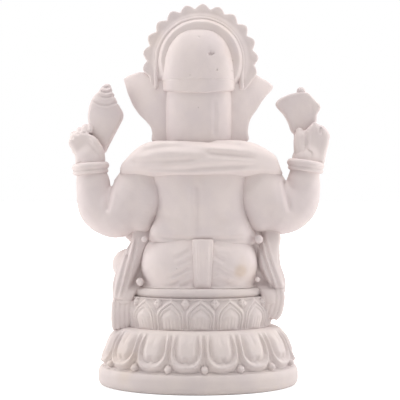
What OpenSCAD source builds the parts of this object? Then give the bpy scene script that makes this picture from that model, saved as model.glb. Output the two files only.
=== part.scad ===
// Seated four-armed Ganesha on a double lotus, cast in white marble dust.
// +Z is up, the figure faces -Y, its own left side is +X, and Z = 0 is the face it stands on.

/* [Base] */
// Width of the oval plinth
base_w = 79; // [76:0.5:82]
// Depth of the oval plinth
base_d = 60; // [57:0.5:64]
// Height of the plinth slab
plinth_h = 7.6; // [6.5:0.1:8.5]
// Height at which the lower lotus ends and the upper one starts
waist_z = 23; // [22.5:0.1:23.5]
// Height of the top of the upper lotus
lotus_top_z = 35; // [34.5:0.1:35.5]
// Height of the seat that the figure sits on
seat_z = 38.6; // [38:0.1:39]
// Petals round the lower lotus
lower_petal_count = 15; // [14:1:18]
// Petals round the upper lotus
upper_petal_count = 14; // [12:1:16]

/* [Figure] */
// Half width of the hips
hip_r = 22.8; // [22:0.1:23.5]
// Height of the waist line
belt_z = 56.6; // [56:0.1:57.2]
// Half width of the back between the arms
back_r = 18.8; // [18:0.1:19.5]
// Half width of the round belly
belly_r = 18.5; // [17:0.1:19]
// Radius of a rear upper arm
upper_arm_r = 8.6; // [8:0.1:9]
// Radius of a rear forearm at its widest
forearm_r = 6.9; // [6.4:0.1:7.2]
// Radius of a rear wrist
wrist_r = 5.7; // [5.3:0.1:6]

/* [Head and crown] */
// Half width of the head
head_r = 13.4; // [12.8:0.1:13.8]
// Height of the underside of the crown band
brow_z = 114; // [113.5:0.1:114.5]
// Height of the top of the crown band
band_z = 118.8; // [118.4:0.1:119.2]
// Height of the top of the crown dome
dome_top_z = 140.8; // [140:0.1:141.5]
// Radius of the halo to the points of its teeth
halo_r = 23; // [22.5:0.1:23.2]
// Height of the centre of the halo
halo_z = 126.8; // [126.5:0.1:127]
// Angle from one halo tooth to the next
tooth_pitch = 16; // [14:0.5:18]

/* [Hidden] */

marble = "#ece5e1";
marble_shade = "#e2dad6";
marble_warm = "#f0e9e2";

oval = base_d / base_w;
plinth_r = base_w / 2;
// How far petals stand out from the lotus cores
petal_t = 2;
// Clearance between neighbouring petals, which close up towards the core where the oval is tightest
petal_gap = 1.4;
lower_petal_gap = 1.8;

// ---- helpers ----

function unit(v) = v / norm(v);
function along(path, i) = unit(path[min(i + 1, len(path) - 1)] - path[max(i - 1, 0)]);

// Solid of elliptic rings strung along a path and closed by flat ends.
// radii holds [across, towards "up"] for each point, and square below 1 makes the rings boxier.
module loft(path, radii, sides = 16, up = [0, 1, 0], square = 1) {
    rings = len(path);
    points = [
        for (i = [0 : rings - 1])
            let (t = along(path, i), across = unit(cross(up, t)), over = cross(t, across))
                for (k = [0 : sides - 1])
                    let (a = 360 * (k + 0.5) / sides, c = cos(a), s = sin(a))
                        path[i] + across * radii[i][0] * sign(c) * pow(abs(c), square)
                            + over * radii[i][1] * sign(s) * pow(abs(s), square)
    ];
    walls = [
        for (i = [0 : rings - 2], k = [0 : sides - 1])
            let (n = (k + 1) % sides, low = i * sides, high = (i + 1) * sides)
                each [[low + k, high + k, high + n], [low + k, high + n, low + n]]
    ];
    first = [for (k = [0 : sides - 1]) k];
    last = [for (k = [sides - 1 : -1 : 0]) (rings - 1) * sides + k];
    polyhedron(points, concat([first], walls, [last]), convexity = 6);
}

// Ellipsoid made of horizontal rings
module egg(centre, r, sides = 18, steps = 9) {
    angles = [for (i = [0 : steps]) -86 + 172 * i / steps];
    loft(
        [for (a = angles) centre + [0, 0, r[2] * sin(a)]],
        [for (a = angles) [r[0] * cos(a), r[1] * cos(a)]],
        sides
    );
}

// Ring round a limb: centre, direction of the limb, radius to the middle of the ring, radius of its section
module ring_round(centre, direction, r, section) {
    d = unit(direction);
    translate(centre)
        rotate([0, acos(d[2]), atan2(d[1], d[0])])
            rotate_extrude($fn = 48) translate([r, 0]) circle(r = section, $fn = 24);
}

// Oval solid whose half width and height follow an outline of [half width, height]
module oval_stack(outline) {
    loft([for (p = outline) [0, 0, p[1]]], [for (p = outline) [p[0], p[0] * oval]], 64);
}

// Length along the oval for each degree round it, measured from +Y
function oval_pace(angle) = sqrt(pow(cos(angle), 2) + pow(oval * sin(angle), 2));
pace_step = 5;
function paced(angle) = angle <= 0 ? 0 : paced(angle - pace_step) + oval_pace(angle - pace_step / 2);
whole_pace = paced(360);
pace_table = [for (a = [0 : pace_step : 360]) [paced(a) / whole_pace, a]];
// Angle of petal i of n, spaced evenly along the oval
function petal_angle(i, n, turn) = lookup((i + turn) / n % 1, pace_table);

// ---- base ----

lower_outline = [
    [37.6, plinth_h], [38.4, 9], [37.6, 11.4], [36.8, 13.8], [36, 16.2], [35.1, 18.5], [33.6, 20.9], [31, waist_z]
];
upper_outline = [
    [26.4, waist_z], [28.4, 24.6], [29.7, 27], [30.1, 29], [29.6, 31.5], [28.6, 33.6], [27.4, lotus_top_z]
];
function inset(outline, by) = [for (p = outline) [p[0] - by, p[1]]];

module plinth() {
    edge = 3;
    color(marble_shade)
        oval_stack([
            for (a = [-90 : 22.5 : 90]) [plinth_r - edge + edge * cos(a), plinth_h / 2 * (1 + sin(a))]
        ]);
}

module lower_lotus_core() {
    color(marble_shade) oval_stack(inset(lower_outline, petal_t));
}

module upper_lotus_core() {
    color(marble_shade) oval_stack(inset(upper_outline, petal_t));
}

// An outline carried on a little above and below, to cut right through a solid
function lengthened(outline) =
    let (last = outline[len(outline) - 1])
        concat([outline[0] - [0, 1]], outline, [last + [0, 1]]);

// Petals cut from the skin of a lotus core by prisms pointing outwards.
// half_widths holds [share of height, share of half width] from the foot of a petal to its tip.
module petal_row(outline, outer, n, turn, width, foot_z, tip_z, half_widths) {
    side = [for (h = half_widths) [width / 2 * h[1], foot_z + (tip_z - foot_z) * h[0]]];
    other = [for (j = [len(side) - 1 : -1 : 0]) [-side[j][0], side[j][1]]];
    intersection() {
        difference() {
            oval_stack(inset(outline, outer));
            oval_stack(lengthened(inset(outline, petal_t)));
        }
        for (i = [0 : n - 1]) {
            angle = petal_angle(i, n, turn);
            // The prism stands square to the oval
            facing = atan2(sin(angle) * oval, cos(angle));
            translate([outline[0][0] * sin(angle), outline[0][0] * oval * cos(angle), 0])
                rotate([90, 0, -facing])
                    translate([0, 0, -6]) linear_extrude(height = 16) polygon(concat(side, other));
        }
    }
}

// Distance along the oval at radius r, for each of n petals
function petal_room(r, n) = r * whole_pace * pace_step * PI / 180 / n;

lower_petal_w = petal_room(36, lower_petal_count) - lower_petal_gap;
upper_petal_w = petal_room(28.6, upper_petal_count) - petal_gap;
broad_petal = [[0, 0.7], [0.12, 0.84], [0.3, 0.93], [0.6, 1], [0.78, 0.88], [0.9, 0.58], [1, 0.06]];
pointed_petal = [[0, 0.78], [0.25, 0.97], [0.5, 0.97], [0.7, 0.74], [0.85, 0.42], [1, 0.04]];
bud = [[0, 1], [0.5, 0.75], [1, 0.05]];
// Turn of each row, in petals, so that the back of the base looks as it should
lower_turn = 0.31;
upper_turn = 0;

module lower_lotus_petals() {
    color(marble)
        petal_row(lower_outline, 0, lower_petal_count, lower_turn,
                  lower_petal_w, waist_z, plinth_h, broad_petal);
}

module lower_lotus_buds() {
    color(marble_shade)
        petal_row(lower_outline, 0.4, lower_petal_count, lower_turn + 0.5,
                  2.6, plinth_h, 10.4, bud);
}

module upper_lotus_petals() {
    color(marble)
        petal_row(upper_outline, 0, upper_petal_count, upper_turn,
                  upper_petal_w, waist_z, lotus_top_z, pointed_petal);
}

module upper_lotus_tips() {
    color(marble_shade)
        petal_row(upper_outline, 0.5, upper_petal_count, upper_turn + 0.5,
                  3.4, 32.4, lotus_top_z, bud);
}

module seat_slab() {
    slab_h = seat_z - lotus_top_z;
    color(marble)
        oval_stack([for (a = [-90 : 30 : 90]) [25.2 + 1.4 * cos(a), lotus_top_z + slab_h / 2 * (1 + sin(a))]]);
}

// Everything at and below the seat, to trim what rests on it
module seat_room() {
    translate([-60, -40, -1]) cube([120, 80, seat_z + 1]);
}

// ---- seated body ----

module hips_form() {
    loft(
        [[-0.4, 1, seat_z], [-0.4, 1, 41], [-0.4, 1, 44.5], [-0.4, 1, 48.5], [-0.4, 1, 52.5], [-0.3, 1, 55], [-0.2, 1, belt_z]],
        [
            [hip_r - 2, 15], [hip_r - 0.8, 16], [hip_r, 16.6], [hip_r + 0.1, 16.6],
            [hip_r - 0.7, 16], [hip_r - 1.8, 15.3], [hip_r - 2.8, 14.6]
        ],
        24, square = 0.9
    );
}

module torso_form() {
    loft(
        [
            [-0.2, 1, belt_z], [-0.1, 1, 60], [0, 1, 66], [0, 1, 72], [0, 1, 78], [0, 1, 84],
            [0, 0.8, 89], [0, 0.4, 93], [0, 0, 95.5]
        ],
        [
            [back_r + 1, 14], [back_r + 0.2, 13.8], [back_r, 13.8], [back_r + 0.2, 14], [back_r + 1.6, 14],
            [back_r + 3, 13.4], [back_r + 1, 11.6], [14, 10], [11, 9]
        ],
        24, square = 0.92
    );
}

module belly_form() {
    egg([0, -8.6, 60.5], [belly_r, 14.4, 16.5], 22, 11);
}

// One folded leg, thigh and shin together; side is 1 for the figure's left and -1 for its right
module leg_form(side, knee, ankle, lift) {
    loft(
        [
            [side * 8, -3, 45], [side * 15, -4, 46], [side * 22, -5, 46.6], [side * (knee - 7), -6, 46.8],
            [side * (knee - 2.4), -8, 46.4], [side * (knee - 1.2), -11.5, 45.6], [side * (knee - 5), -15, 44.8],
            [side * (knee - 11), -17.4, 44 + lift * 0.4], [side * (ankle + 7), -19, 43.4 + lift * 0.7],
            [side * ankle, -19.8, 43 + lift]
        ],
        [
            [7, 7.4], [7.2, 7.6], [6.8, 7.4], [6, 7], [5, 6.6], [4.6, 6], [4.6, 5.2], [4.4, 4.6], [3.9, 4.1], [3.3, 3.6]
        ],
        16, up = [0, 0, 1]
    );
}
left_knee = 34.2;
right_knee = 31;
left_ankle = 9;
right_ankle = 8;
left_lift = -0.6;
right_lift = 3.6;
module left_leg_form() { leg_form(1, left_knee, left_ankle, left_lift); }
module right_leg_form() { leg_form(-1, right_knee, right_ankle, right_lift); }

// A foot lying on its side, heel to toes
module foot_form(side, ankle, lift, reach) {
    loft(
        [
            for (s = [0, 0.2, 0.5, 0.8, 1])
                [side * (ankle + 1 - s * reach), -20.2 - 1.4 * sin(180 * s), 42.4 + lift - 0.8 * s]
        ],
        [[2.4, 3], [3, 3.8], [3, 3.6], [2.7, 3.2], [1.4, 1.6]],
        14, up = [0, 0, 1]
    );
}
module left_foot_form() { foot_form(1, left_ankle, left_lift, 14); }
module right_foot_form() { foot_form(-1, right_ankle, right_lift, 13); }

module dhoti_hips() {
    color(marble_shade) hips_form();
}

// Pleated band down the middle of the back
module dhoti_tail() {
    color(marble)
        difference() {
            loft(
                [[-1.2, 14, seat_z], [-1.2, 15.4, 42], [-1.4, 16.2, 47], [-1.6, 15.8, 52], [-1.8, 14.6, belt_z]],
                [[3.5, 3], [3.5, 2.6], [3.7, 2.4], [4, 2.4], [4.2, 2.6]],
                16, square = 0.4
            );
            hips_form();
        }
}

// Pleats of the dhoti that fall over the seat between the feet
module dhoti_apron() {
    color(marble)
        difference() {
            loft(
                [[0, -18, 39.4], [0, -20.4, 38.9], [0, -22.6, 37], [0, -23.4, 33], [0, -23.2, 28], [0, -22.8, 25.4]],
                [[4, 1.6], [4.6, 1.7], [5.2, 1.6], [5.8, 1.5], [6.6, 1.4], [6.8, 1]],
                16, up = [0, -1, 0], square = 0.5
            );
            seat_slab();
            upper_lotus_core();
            petal_band();
            left_leg_form();
            left_foot_form();
        }
}

// The whole ring that the upper petals stand in
module petal_band() {
    oval_stack(upper_outline);
}

module left_leg() {
    color(marble)
        difference() {
            left_leg_form();
            hips_form();
            belly_form();
            seat_room();
        }
}

module right_leg() {
    color(marble)
        difference() {
            right_leg_form();
            hips_form();
            belly_form();
            seat_room();
        }
}

module left_foot() {
    color(marble_warm)
        difference() {
            left_foot_form();
            left_leg_form();
            right_leg_form();
            belly_form();
            seat_room();
        }
}

module right_foot() {
    color(marble_warm)
        difference() {
            right_foot_form();
            right_leg_form();
            left_leg_form();
            left_foot_form();
            belly_form();
        }
}

module anklets() {
    color(marble_shade)
        difference() {
            union() {
                ring_round([left_ankle + 2.6, -19.6, 42.6], [-1, -0.2, 0], 3.9, 0.8);
                ring_round([-right_ankle - 2.6, -19.6, 46.2], [1, -0.2, 0.1], 3.9, 0.8);
            }
            left_leg_form();
            right_leg_form();
            left_foot_form();
            right_foot_form();
            belly_form();
            seat_room();
        }
}

module torso() {
    color(marble) torso_form();
}

module belly() {
    color(marble)
        difference() {
            belly_form();
            hips_form();
            torso_form();
        }
}

// Sash tied round the body under the belly
module waist_belt() {
    color(marble_shade)
        difference() {
            loft(
                [for (a = [-96 : 16 : 96]) [20.6 * sin(a), -3.6 - 17.6 * cos(a), 52.6 - 3.4 * cos(a)]],
                [for (a = [-96 : 16 : 96]) [1.9, 2.1]],
                12, up = [0, 0, 1]
            );
            belly_form();
            hips_form();
            torso_form();
            left_leg_form();
            right_leg_form();
        }
}

// Point on the belly at an angle round it from the front, towards the figure's left, and an angle up
function on_belly(round, up) =
    [belly_r * sin(round) * cos(up), -8.6 - 14.4 * cos(round) * cos(up), 60.5 + 16.5 * sin(up)];

// Cord from the figure's left shoulder down across the belly
module sacred_thread() {
    color(marble_shade)
        difference() {
            loft(
                concat(
                    [[13, -9.6, 87], [11.4, -12.6, 82]],
                    [for (s = [0 : 7]) on_belly(38 - 13 * s, 62 - 11 * s)]
                ),
                [for (s = [0 : 9]) [1.2, 1.2]],
                10, up = [0, 0, 1]
            );
            belly_form();
            torso_form();
            left_front_arm_form();
            right_front_arm_form();
        }
}

module necklace_form() {
    loft(
        [for (a = [-84 : 14 : 84]) [15 * sin(a), -7.6 - 6.6 * cos(a), 88 - 9.5 * cos(a)]],
        [for (a = [-84 : 14 : 84]) [1.5 + 0.7 * cos(a), 1.5]],
        12, up = [0, -0.4, 1]
    );
}

module necklace() {
    color(marble_shade)
        difference() {
            necklace_form();
            torso_form();
            belly_form();
            trunk_form();
        }
}

module pendant() {
    color(marble_shade)
        difference() {
            egg([0, -16.4, 76], [3, 2.4, 3.4], 14, 6);
            necklace_form();
            torso_form();
            belly_form();
            trunk_form();
        }
}

// ---- shawl ----

shawl_half = 32;
module shawl_form() {
    loft(
        [
            for (x = [-shawl_half, -30.5, -27.5, -22, -14, 0, 14, 22, 27.5, 30.5, shawl_half])
                let (s = abs(x) / shawl_half)
                    [x, 1.2 - 2.4 * s * s, 87 - 2.4 * s * s * s]
        ],
        [
            for (x = [-shawl_half, -30.5, -27.5, -22, -14, 0, 14, 22, 27.5, 30.5, shawl_half])
                let (s = abs(x) / shawl_half, shrink = sqrt(max(1 - pow(s, 5), 0.03)))
                    [(16.6 - 6 * s * s) * shrink, (8.2 - 2 * s * s) * shrink]
        ],
        20, up = [0, 0, 1], square = 0.85
    );
}

module shawl() {
    color(marble)
        difference() {
            shawl_form();
            torso_form();
            head_form();
            for (side = [-1, 1]) rear_upper_arm_form(side);
            left_front_arm_form();
            right_front_arm_form();
            necklace_form();
            trunk_form();
        }
}

// Free end of the shawl that hangs beside a hip and over the edge of the seat
module shawl_end_form(side) {
    loft(
        [
            [side * 23.5, 1, 61], [side * 25, 3, 57], [side * 26.6, 4.4, 51], [side * 28.2, 5, 45],
            [side * 30, 5, 39.4], [side * 31.8, 4, 34.6], [side * 32.4, 3.2, 31.6]
        ],
        [[2.6, 3.4], [3.2, 4.4], [3.4, 5.6], [3.4, 6.4], [3.2, 6.8], [2.6, 6.8], [2, 6.4]],
        14, square = 0.75
    );
}

module left_shawl_end() {
    color(marble)
        difference() {
            shawl_end_form(1);
            seat_slab();
            petal_band();
            hips_form();
            torso_form();
            left_leg_form();
            rear_upper_arm_form(1);
            left_front_arm_form();
        }
}

module right_shawl_end() {
    color(marble)
        difference() {
            shawl_end_form(-1);
            seat_slab();
            petal_band();
            hips_form();
            torso_form();
            right_leg_form();
            rear_upper_arm_form(-1);
            right_front_arm_form();
        }
}

module shawl_tassels() {
    color(marble_shade)
        difference() {
            for (side = [-1, 1])
                loft(
                    [[side * 32.2, 3.2, 31.6], [side * 32, 3, 29], [side * 31.8, 2.6, 26.4], [side * 31.4, 2.4, 24.4]],
                    [[1.8, 5.6], [2, 4.6], [1.6, 3.2], [0.8, 1.4]],
                    12
                );
            petal_band();
            oval_stack(lower_outline);
        }
}

// Round beads where the garment meets the seat and the waist: [place, radius]
bead_places = [
    [[20.6, 13.6, 57.4], 1.3], [[-23.4, 10.6, 57.2], 1.8], [[22.4, 12.2, 40.4], 1.9], [[-23.2, 12, 42], 1.2]
];
module garment_beads() {
    color(marble_warm)
        difference() {
            for (b = bead_places) translate(b[0]) sphere(r = b[1], $fn = 24);
            hips_form();
            torso_form();
            seat_room();
            for (side = [-1, 1]) shawl_end_form(side);
        }
}

// ---- rear arms ----

wrist = [42.3, 1.5, 85];
module rear_upper_arm_form(side) {
    loft(
        [
            [side * 17, 2, 84], [side * 21, 2, 82.4], [side * 25.4, 2.2, 79.4], [side * 29.6, 2.2, 76],
            [side * 33.4, 2, 72.8], [side * 36.6, 1.6, 70.4], [side * 39.4, 1.2, 68.6], [side * 42.2, 1, 67.2]
        ],
        [
            [7.6, 8.4], [upper_arm_r, 9], [upper_arm_r + 0.5, 9.2], [upper_arm_r + 0.3, 9], [upper_arm_r, 8.6],
            [upper_arm_r - 0.2, 8.2], [upper_arm_r - 1.2, 7.4], [4.6, 4.6]
        ],
        16
    );
}

module rear_forearm_form(side) {
    loft(
        [
            [side * 37.6, 1, 63], [side * 38.8, 1, 66], [side * 40, 1, 69.4], [side * 40.8, 1.2, 74],
            [side * 41.3, 1.4, 78.4], [side * 41.9, 1.5, 82], [side * 42.3, 1.5, 86.8]
        ],
        [
            [4.6, 4.2], [7.4, 6.8], [forearm_r + 1, forearm_r + 0.6], [forearm_r, forearm_r],
            [forearm_r - 0.3, forearm_r - 0.4], [wrist_r + 0.2, wrist_r], [wrist_r - 0.2, wrist_r - 0.4]
        ],
        16
    );
}

module rear_upper_arm(side) {
    difference() {
        rear_upper_arm_form(side);
        torso_form();
    }
}

module rear_forearm(side) {
    difference() {
        rear_forearm_form(side);
        rear_upper_arm_form(side);
    }
}

module left_rear_upper_arm() { color(marble) rear_upper_arm(1); }
module right_rear_upper_arm() { color(marble) rear_upper_arm(-1); }
module left_rear_forearm() { color(marble) rear_forearm(1); }
module right_rear_forearm() { color(marble) rear_forearm(-1); }

// Two bangles, one above the other, on a rear wrist
module rear_bangles(side, z) {
    difference() {
        for (step = [0, 2.1])
            translate([side * (wrist[0] + 0.1), wrist[1], z + step])
                rotate_extrude($fn = 48) translate([wrist_r + 0.3, 0]) circle(r = 1.25, $fn = 24);
        rear_forearm_form(side);
    }
}

module left_rear_bangles() { color(marble_warm) rear_bangles(1, wrist[2] - 1.4); }
module right_rear_bangles() { color(marble_warm) rear_bangles(-1, wrist[2] - 0.4); }

module rear_hand_form(side) {
    loft(
        [
            [side * 42.6, 1.6, 86.8], [side * 43.4, 1.6, 89.4], [side * 44.8, 1.4, 92.4],
            [side * 45.6, 1.2, 95.6], [side * 45.8, 0.6, 98.4], [side * 45.8, -0.4, 101]
        ],
        [[4.6, 4.2], [5.4, 4.8], [6.4, 5], [6.6, 4.8], [5.6, 4.2], [3, 2.6]],
        16, square = 0.85
    );
}

module rear_hand(side) {
    difference() {
        rear_hand_form(side);
        rear_forearm_form(side);
    }
}

module left_rear_hand() {
    color(marble_warm)
        difference() {
            rear_hand(1);
            conch_form();
        }
}

module right_rear_hand() {
    color(marble_warm)
        difference() {
            rear_hand(-1);
            axe_shaft_form();
            axe_head_form();
        }
}

// Shell held upright in the left rear hand
module conch_form() {
    loft(
        [
            [37.6, -1, 91.4], [37.4, -1.2, 94.6], [37, -1.6, 98.4], [36.6, -2, 102.6], [36.5, -2.2, 106],
            [36.4, -2.2, 109], [36.2, -2, 112], [36.1, -1.8, 114.6], [36, -1.6, 116.4], [35.9, -1.6, 117.8]
        ],
        [
            [1.4, 1.6], [3, 3], [4.9, 4.4], [6.2, 5.4], [6.6, 5.6], [5.9, 5.2], [4.4, 4], [2.8, 2.8], [1.7, 1.7], [0.6, 0.6]
        ],
        16
    );
}

module conch() {
    color(marble_warm) conch_form();
}

shaft_x = -39.9;
module axe_shaft_form() {
    translate([shaft_x, -1.6, 88.4]) cylinder(r = 1.9, h = 26.4, $fn = 32);
    translate([shaft_x - 0.8, -1.6, 115.8]) sphere(r = 1.9, $fn = 32);
}

// Blade towards the head with a small back spike
module axe_head_form() {
    translate([0, 0.2, 0]) rotate([90, 0, 0])
        linear_extrude(height = 3.8)
            polygon([
                [-38.4, 115.4], [-32.4, 112.4], [-30.8, 110.2], [-34.4, 106], [-37.6, 99.8],
                [-42.4, 104.4], [-44.4, 106.8], [-46.8, 107.6], [-48, 109], [-46.4, 110.4], [-43.6, 111.2]
            ]);
}

module axe_shaft() {
    color(marble_warm) axe_shaft_form();
}

module axe_head() {
    color(marble_warm)
        difference() {
            axe_head_form();
            axe_shaft_form();
        }
}

// ---- front arms ----

module left_front_arm_form() {
    loft(
        [
            [20, -3, 84], [23, -4.4, 79], [26, -5.4, 73], [28.2, -6.4, 67], [29, -8.6, 62], [28.4, -12.6, 59.6],
            [26.6, -17.4, 59.6], [24.6, -21.4, 60.4]
        ],
        [[5.6, 5.4], [6, 5.8], [6, 5.8], [5.8, 5.6], [5.4, 5.4], [4.8, 5], [4.2, 4.4], [3.2, 3.4]],
        14
    );
}

module right_front_arm_form() {
    loft(
        [
            [-20, -3, 84], [-23, -4.4, 79], [-26, -5.4, 73], [-28.6, -6.4, 66], [-30.4, -8, 60.6], [-30.6, -12, 58.6],
            [-29.4, -16.6, 61.6], [-28.4, -19.4, 66.4]
        ],
        [[5.6, 5.4], [6, 5.8], [6, 5.8], [5.8, 5.6], [5.4, 5.4], [4.8, 5], [4.2, 4.4], [3.4, 3.4]],
        14
    );
}

module front_arm_cuts() {
    torso_form();
    belly_form();
    for (side = [-1, 1]) rear_upper_arm_form(side);
}

module left_front_arm() {
    color(marble) difference() {
        left_front_arm_form();
        front_arm_cuts();
    }
}

module right_front_arm() {
    color(marble) difference() {
        right_front_arm_form();
        front_arm_cuts();
    }
}

module front_bangles() {
    color(marble_warm)
        difference() {
            union() {
                ring_round([26, -18.6, 59.8], [-0.4, -1, 0.12], 4.4, 1.1);
                ring_round([-28.8, -18.2, 64.2], [0.2, -0.5, 1], 4.1, 1.1);
            }
            left_front_arm_form();
            right_front_arm_form();
            belly_form();
        }
}

module left_front_hand_form() {
    loft(
        [[24.8, -21, 60], [23.6, -23.2, 60.2], [21.6, -25.4, 60.2], [19.4, -26.6, 60.2], [17.6, -27, 60.4]],
        [[2.6, 2.6], [3.6, 2.8], [4, 2.6], [3.4, 2.2], [1.8, 1.4]],
        14, up = [0, 0, 1]
    );
}

module left_front_hand() {
    color(marble_warm)
        difference() {
            left_front_hand_form();
            left_front_arm_form();
            belly_form();
            bowl_form();
        }
}

// Raised palm of the right front hand
module right_front_hand_form() {
    loft(
        [[-28.4, -19.4, 66], [-28.4, -20.4, 68.6], [-28.4, -21, 72], [-28.2, -21, 75.6], [-28, -20.6, 79], [-27.8, -20, 82]],
        [[3, 2.8], [4.2, 2.8], [5, 2.6], [4.9, 2.3], [4.2, 2], [2.6, 1.4]],
        14, square = 0.8
    );
}

module right_front_hand() {
    color(marble_warm)
        difference() {
            right_front_hand_form();
            right_front_arm_form();
            belly_form();
        }
}

// Bowl with a heap of sweets, held in the left front hand
module bowl_form() {
    translate([19.6, -24.6, 61.6])
        rotate_extrude($fn = 48)
            polygon([[0, 0], [2.6, 0], [4.2, 1.2], [5, 3], [4.6, 3.6], [3.6, 5], [2, 6.2], [0, 6.8]]);
}

module sweet_bowl() {
    color(marble_warm)
        difference() {
            bowl_form();
            belly_form();
        }
}

// ---- head ----

module head_form() {
    loft(
        [
            [-0.2, -0.6, 92.6], [-0.2, -0.8, 95], [-0.2, -1.2, 99], [-0.2, -1.6, 103.6], [-0.2, -1.6, 108],
            [-0.2, -1.2, 111.6], [-0.2, -0.8, brow_z]
        ],
        [
            [11, 9.8], [head_r - 0.4, 11.8], [head_r, 12.6], [head_r, 13.2], [head_r, 13.4],
            [head_r - 0.1, 13], [head_r - 0.4, 12.6]
        ],
        24, square = 0.8
    );
}

module trunk_form() {
    loft(
        [
            [0, -11, 108], [0, -14.6, 104.6], [0, -17.4, 99.6], [0, -19.6, 94], [0.2, -21.4, 88], [1, -22.8, 82],
            [3, -24, 76.6], [6, -25.2, 72.2], [10, -26.4, 69.4], [14, -27, 68.8], [17, -27, 70.4], [18.4, -26.6, 73]
        ],
        [
            [6.4, 5.4], [6.4, 5.6], [6.1, 5.4], [5.6, 5], [5, 4.6], [4.4, 4.2], [3.9, 3.8], [3.5, 3.4], [3.1, 3],
            [2.8, 2.7], [2.5, 2.4], [2, 1.9]
        ],
        16
    );
}

module head() {
    color(marble)
        difference() {
            head_form();
            torso_form();
        }
}

module trunk() {
    color(marble)
        difference() {
            trunk_form();
            head_form();
            belly_form();
            torso_form();
            bowl_form();
        }
}

// Tusk beside the root of the trunk; the figure's right one is broken short
module tusk_form(side, length) {
    loft(
        [for (s = [0, 0.35, 0.7, 1]) [side * (7 + 1.6 * s * length / 8), -12.4 - s * length, 99.6 - 3.2 * s + 1.6 * s * s]],
        [[2, 2], [1.9, 1.9], [1.5, 1.5], [length > 7 ? 0.5 : 1.3, length > 7 ? 0.5 : 1.3]],
        12, up = [0, 0, 1]
    );
}

module tusk(side, length) {
    difference() {
        tusk_form(side, length);
        head_form();
        trunk_form();
    }
}

module left_tusk() { color(marble_warm) tusk(1, 9.5); }
module right_tusk() { color(marble_warm) tusk(-1, 5.5); }

// Broad fan-shaped ear that slopes forwards to its tip
module ear_form(side, tip_x, tip_z) {
    hull() {
        translate([side * 11.4, 2.6, 97.4]) sphere(r = 1.7, $fn = 20);
        translate([side * 18.2, 0, 97.2]) sphere(r = 1.5, $fn = 20);
        translate([side * 20, -3, 103.2]) sphere(r = 1.4, $fn = 20);
        translate([side * 24.8, -6, 109.4]) sphere(r = 1.4, $fn = 20);
        translate([side * tip_x, -8, tip_z]) sphere(r = 1.3, $fn = 20);
        translate([side * 21.8, -3, 120.4]) sphere(r = 1.5, $fn = 20);
        translate([side * 12.4, 2.6, 116.6]) sphere(r = 1.8, $fn = 20);
    }
}

module ear(side, tip_x, tip_z) {
    difference() {
        ear_form(side, tip_x, tip_z);
        head_form();
        shawl_form();
        crown_band_form();
    }
}

module left_ear() { color(marble_shade) ear(1, 27.8, 118.8); }
module right_ear() { color(marble_shade) ear(-1, 27.9, 116.4); }

// ---- crown and halo ----

crown_r = 14.4;
crown_flat = 0.88;

// Stack of rings for the crown, boxy from above; outline holds [half width, height]
module crown_stack(outline) {
    loft(
        [for (p = outline) [-0.2, -0.4, p[1]]],
        [for (p = outline) [p[0], p[0] * crown_flat]],
        36, square = 0.82
    );
}

module crown_band_form() {
    crown_stack([
        [head_r + 0.2, brow_z], [crown_r, brow_z + 0.8], [crown_r, band_z - 0.8], [crown_r - 0.4, band_z]
    ]);
}

module crown_band() {
    color(marble) crown_band_form();
}

module crown_dome_form() {
    dome_h = dome_top_z - band_z;
    roundness = 0.83;
    crown_stack([
        for (a = [0 : 11 : 88])
            [(crown_r + 0.3) * pow(cos(a), roundness), band_z + dome_h * pow(sin(a), roundness)]
    ]);
}

module crown_dome() {
    color(marble) crown_dome_form();
}

// Pointed ornament on the front of the crown, leaning back along the dome
crest_lean = -14;
module crown_crest() {
    color(marble_warm)
        difference() {
            translate([-0.2, -9, band_z]) rotate([crest_lean, 0, 0]) rotate([90, 0, 0])
                linear_extrude(height = 6)
                    polygon([
                        [-8, 0.8], [8, 0.8], [8.6, 5.2], [6.4, 9.2], [5.4, 14.2], [2.6, 19.2], [0, 23.8],
                        [-2.6, 19.2], [-5.4, 14.2], [-6.4, 9.2], [-8.6, 5.2]
                    ]);
            crown_dome_form();
            crown_band_form();
            halo_form();
        }
}

halo_t = 4.2;
// Front face of the halo
halo_y = 3.4;
module halo_form() {
    valley_r = halo_r - 2.9;
    rim = [
        for (i = [-1 : 12], share = [0, 0.22, 0.5, 0.78])
            let (a = (i + share) * tooth_pitch - 6, r = valley_r + (halo_r - valley_r) * sin(180 * share))
                [r * cos(a) - 0.5, r * sin(a)]
    ];
    translate([0, halo_y, halo_z]) rotate([90, 0, 0])
        linear_extrude(height = halo_t)
            polygon(concat(rim, [[-12, band_z - halo_z], [12, band_z - halo_z]]));
}

module halo_plate() {
    color(marble)
        difference() {
            halo_form();
            crown_dome_form();
            crown_band_form();
            ear_form(1, 27.8, 118.8);
            ear_form(-1, 27.9, 116.4);
            head_form();
        }
}

// Raised arch on the back of the halo, round the dome and down beside it
arch_r = 16.7;
arch_t = 1.4;
arch_leg = 6;
module halo_ring() {
    arch = concat([[-arch_r, 0, -arch_leg]], [for (a = [180 : -12 : 0]) [arch_r * cos(a), 0, arch_r * sin(a)]],
                  [[arch_r, 0, -arch_leg]]);
    color(marble_warm)
        difference() {
            translate([-0.3, halo_y - 0.3, halo_z]) loft(arch, [for (p = arch) [arch_t, arch_t]], 12);
            halo_form();
            crown_dome_form();
        }
}

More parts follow.
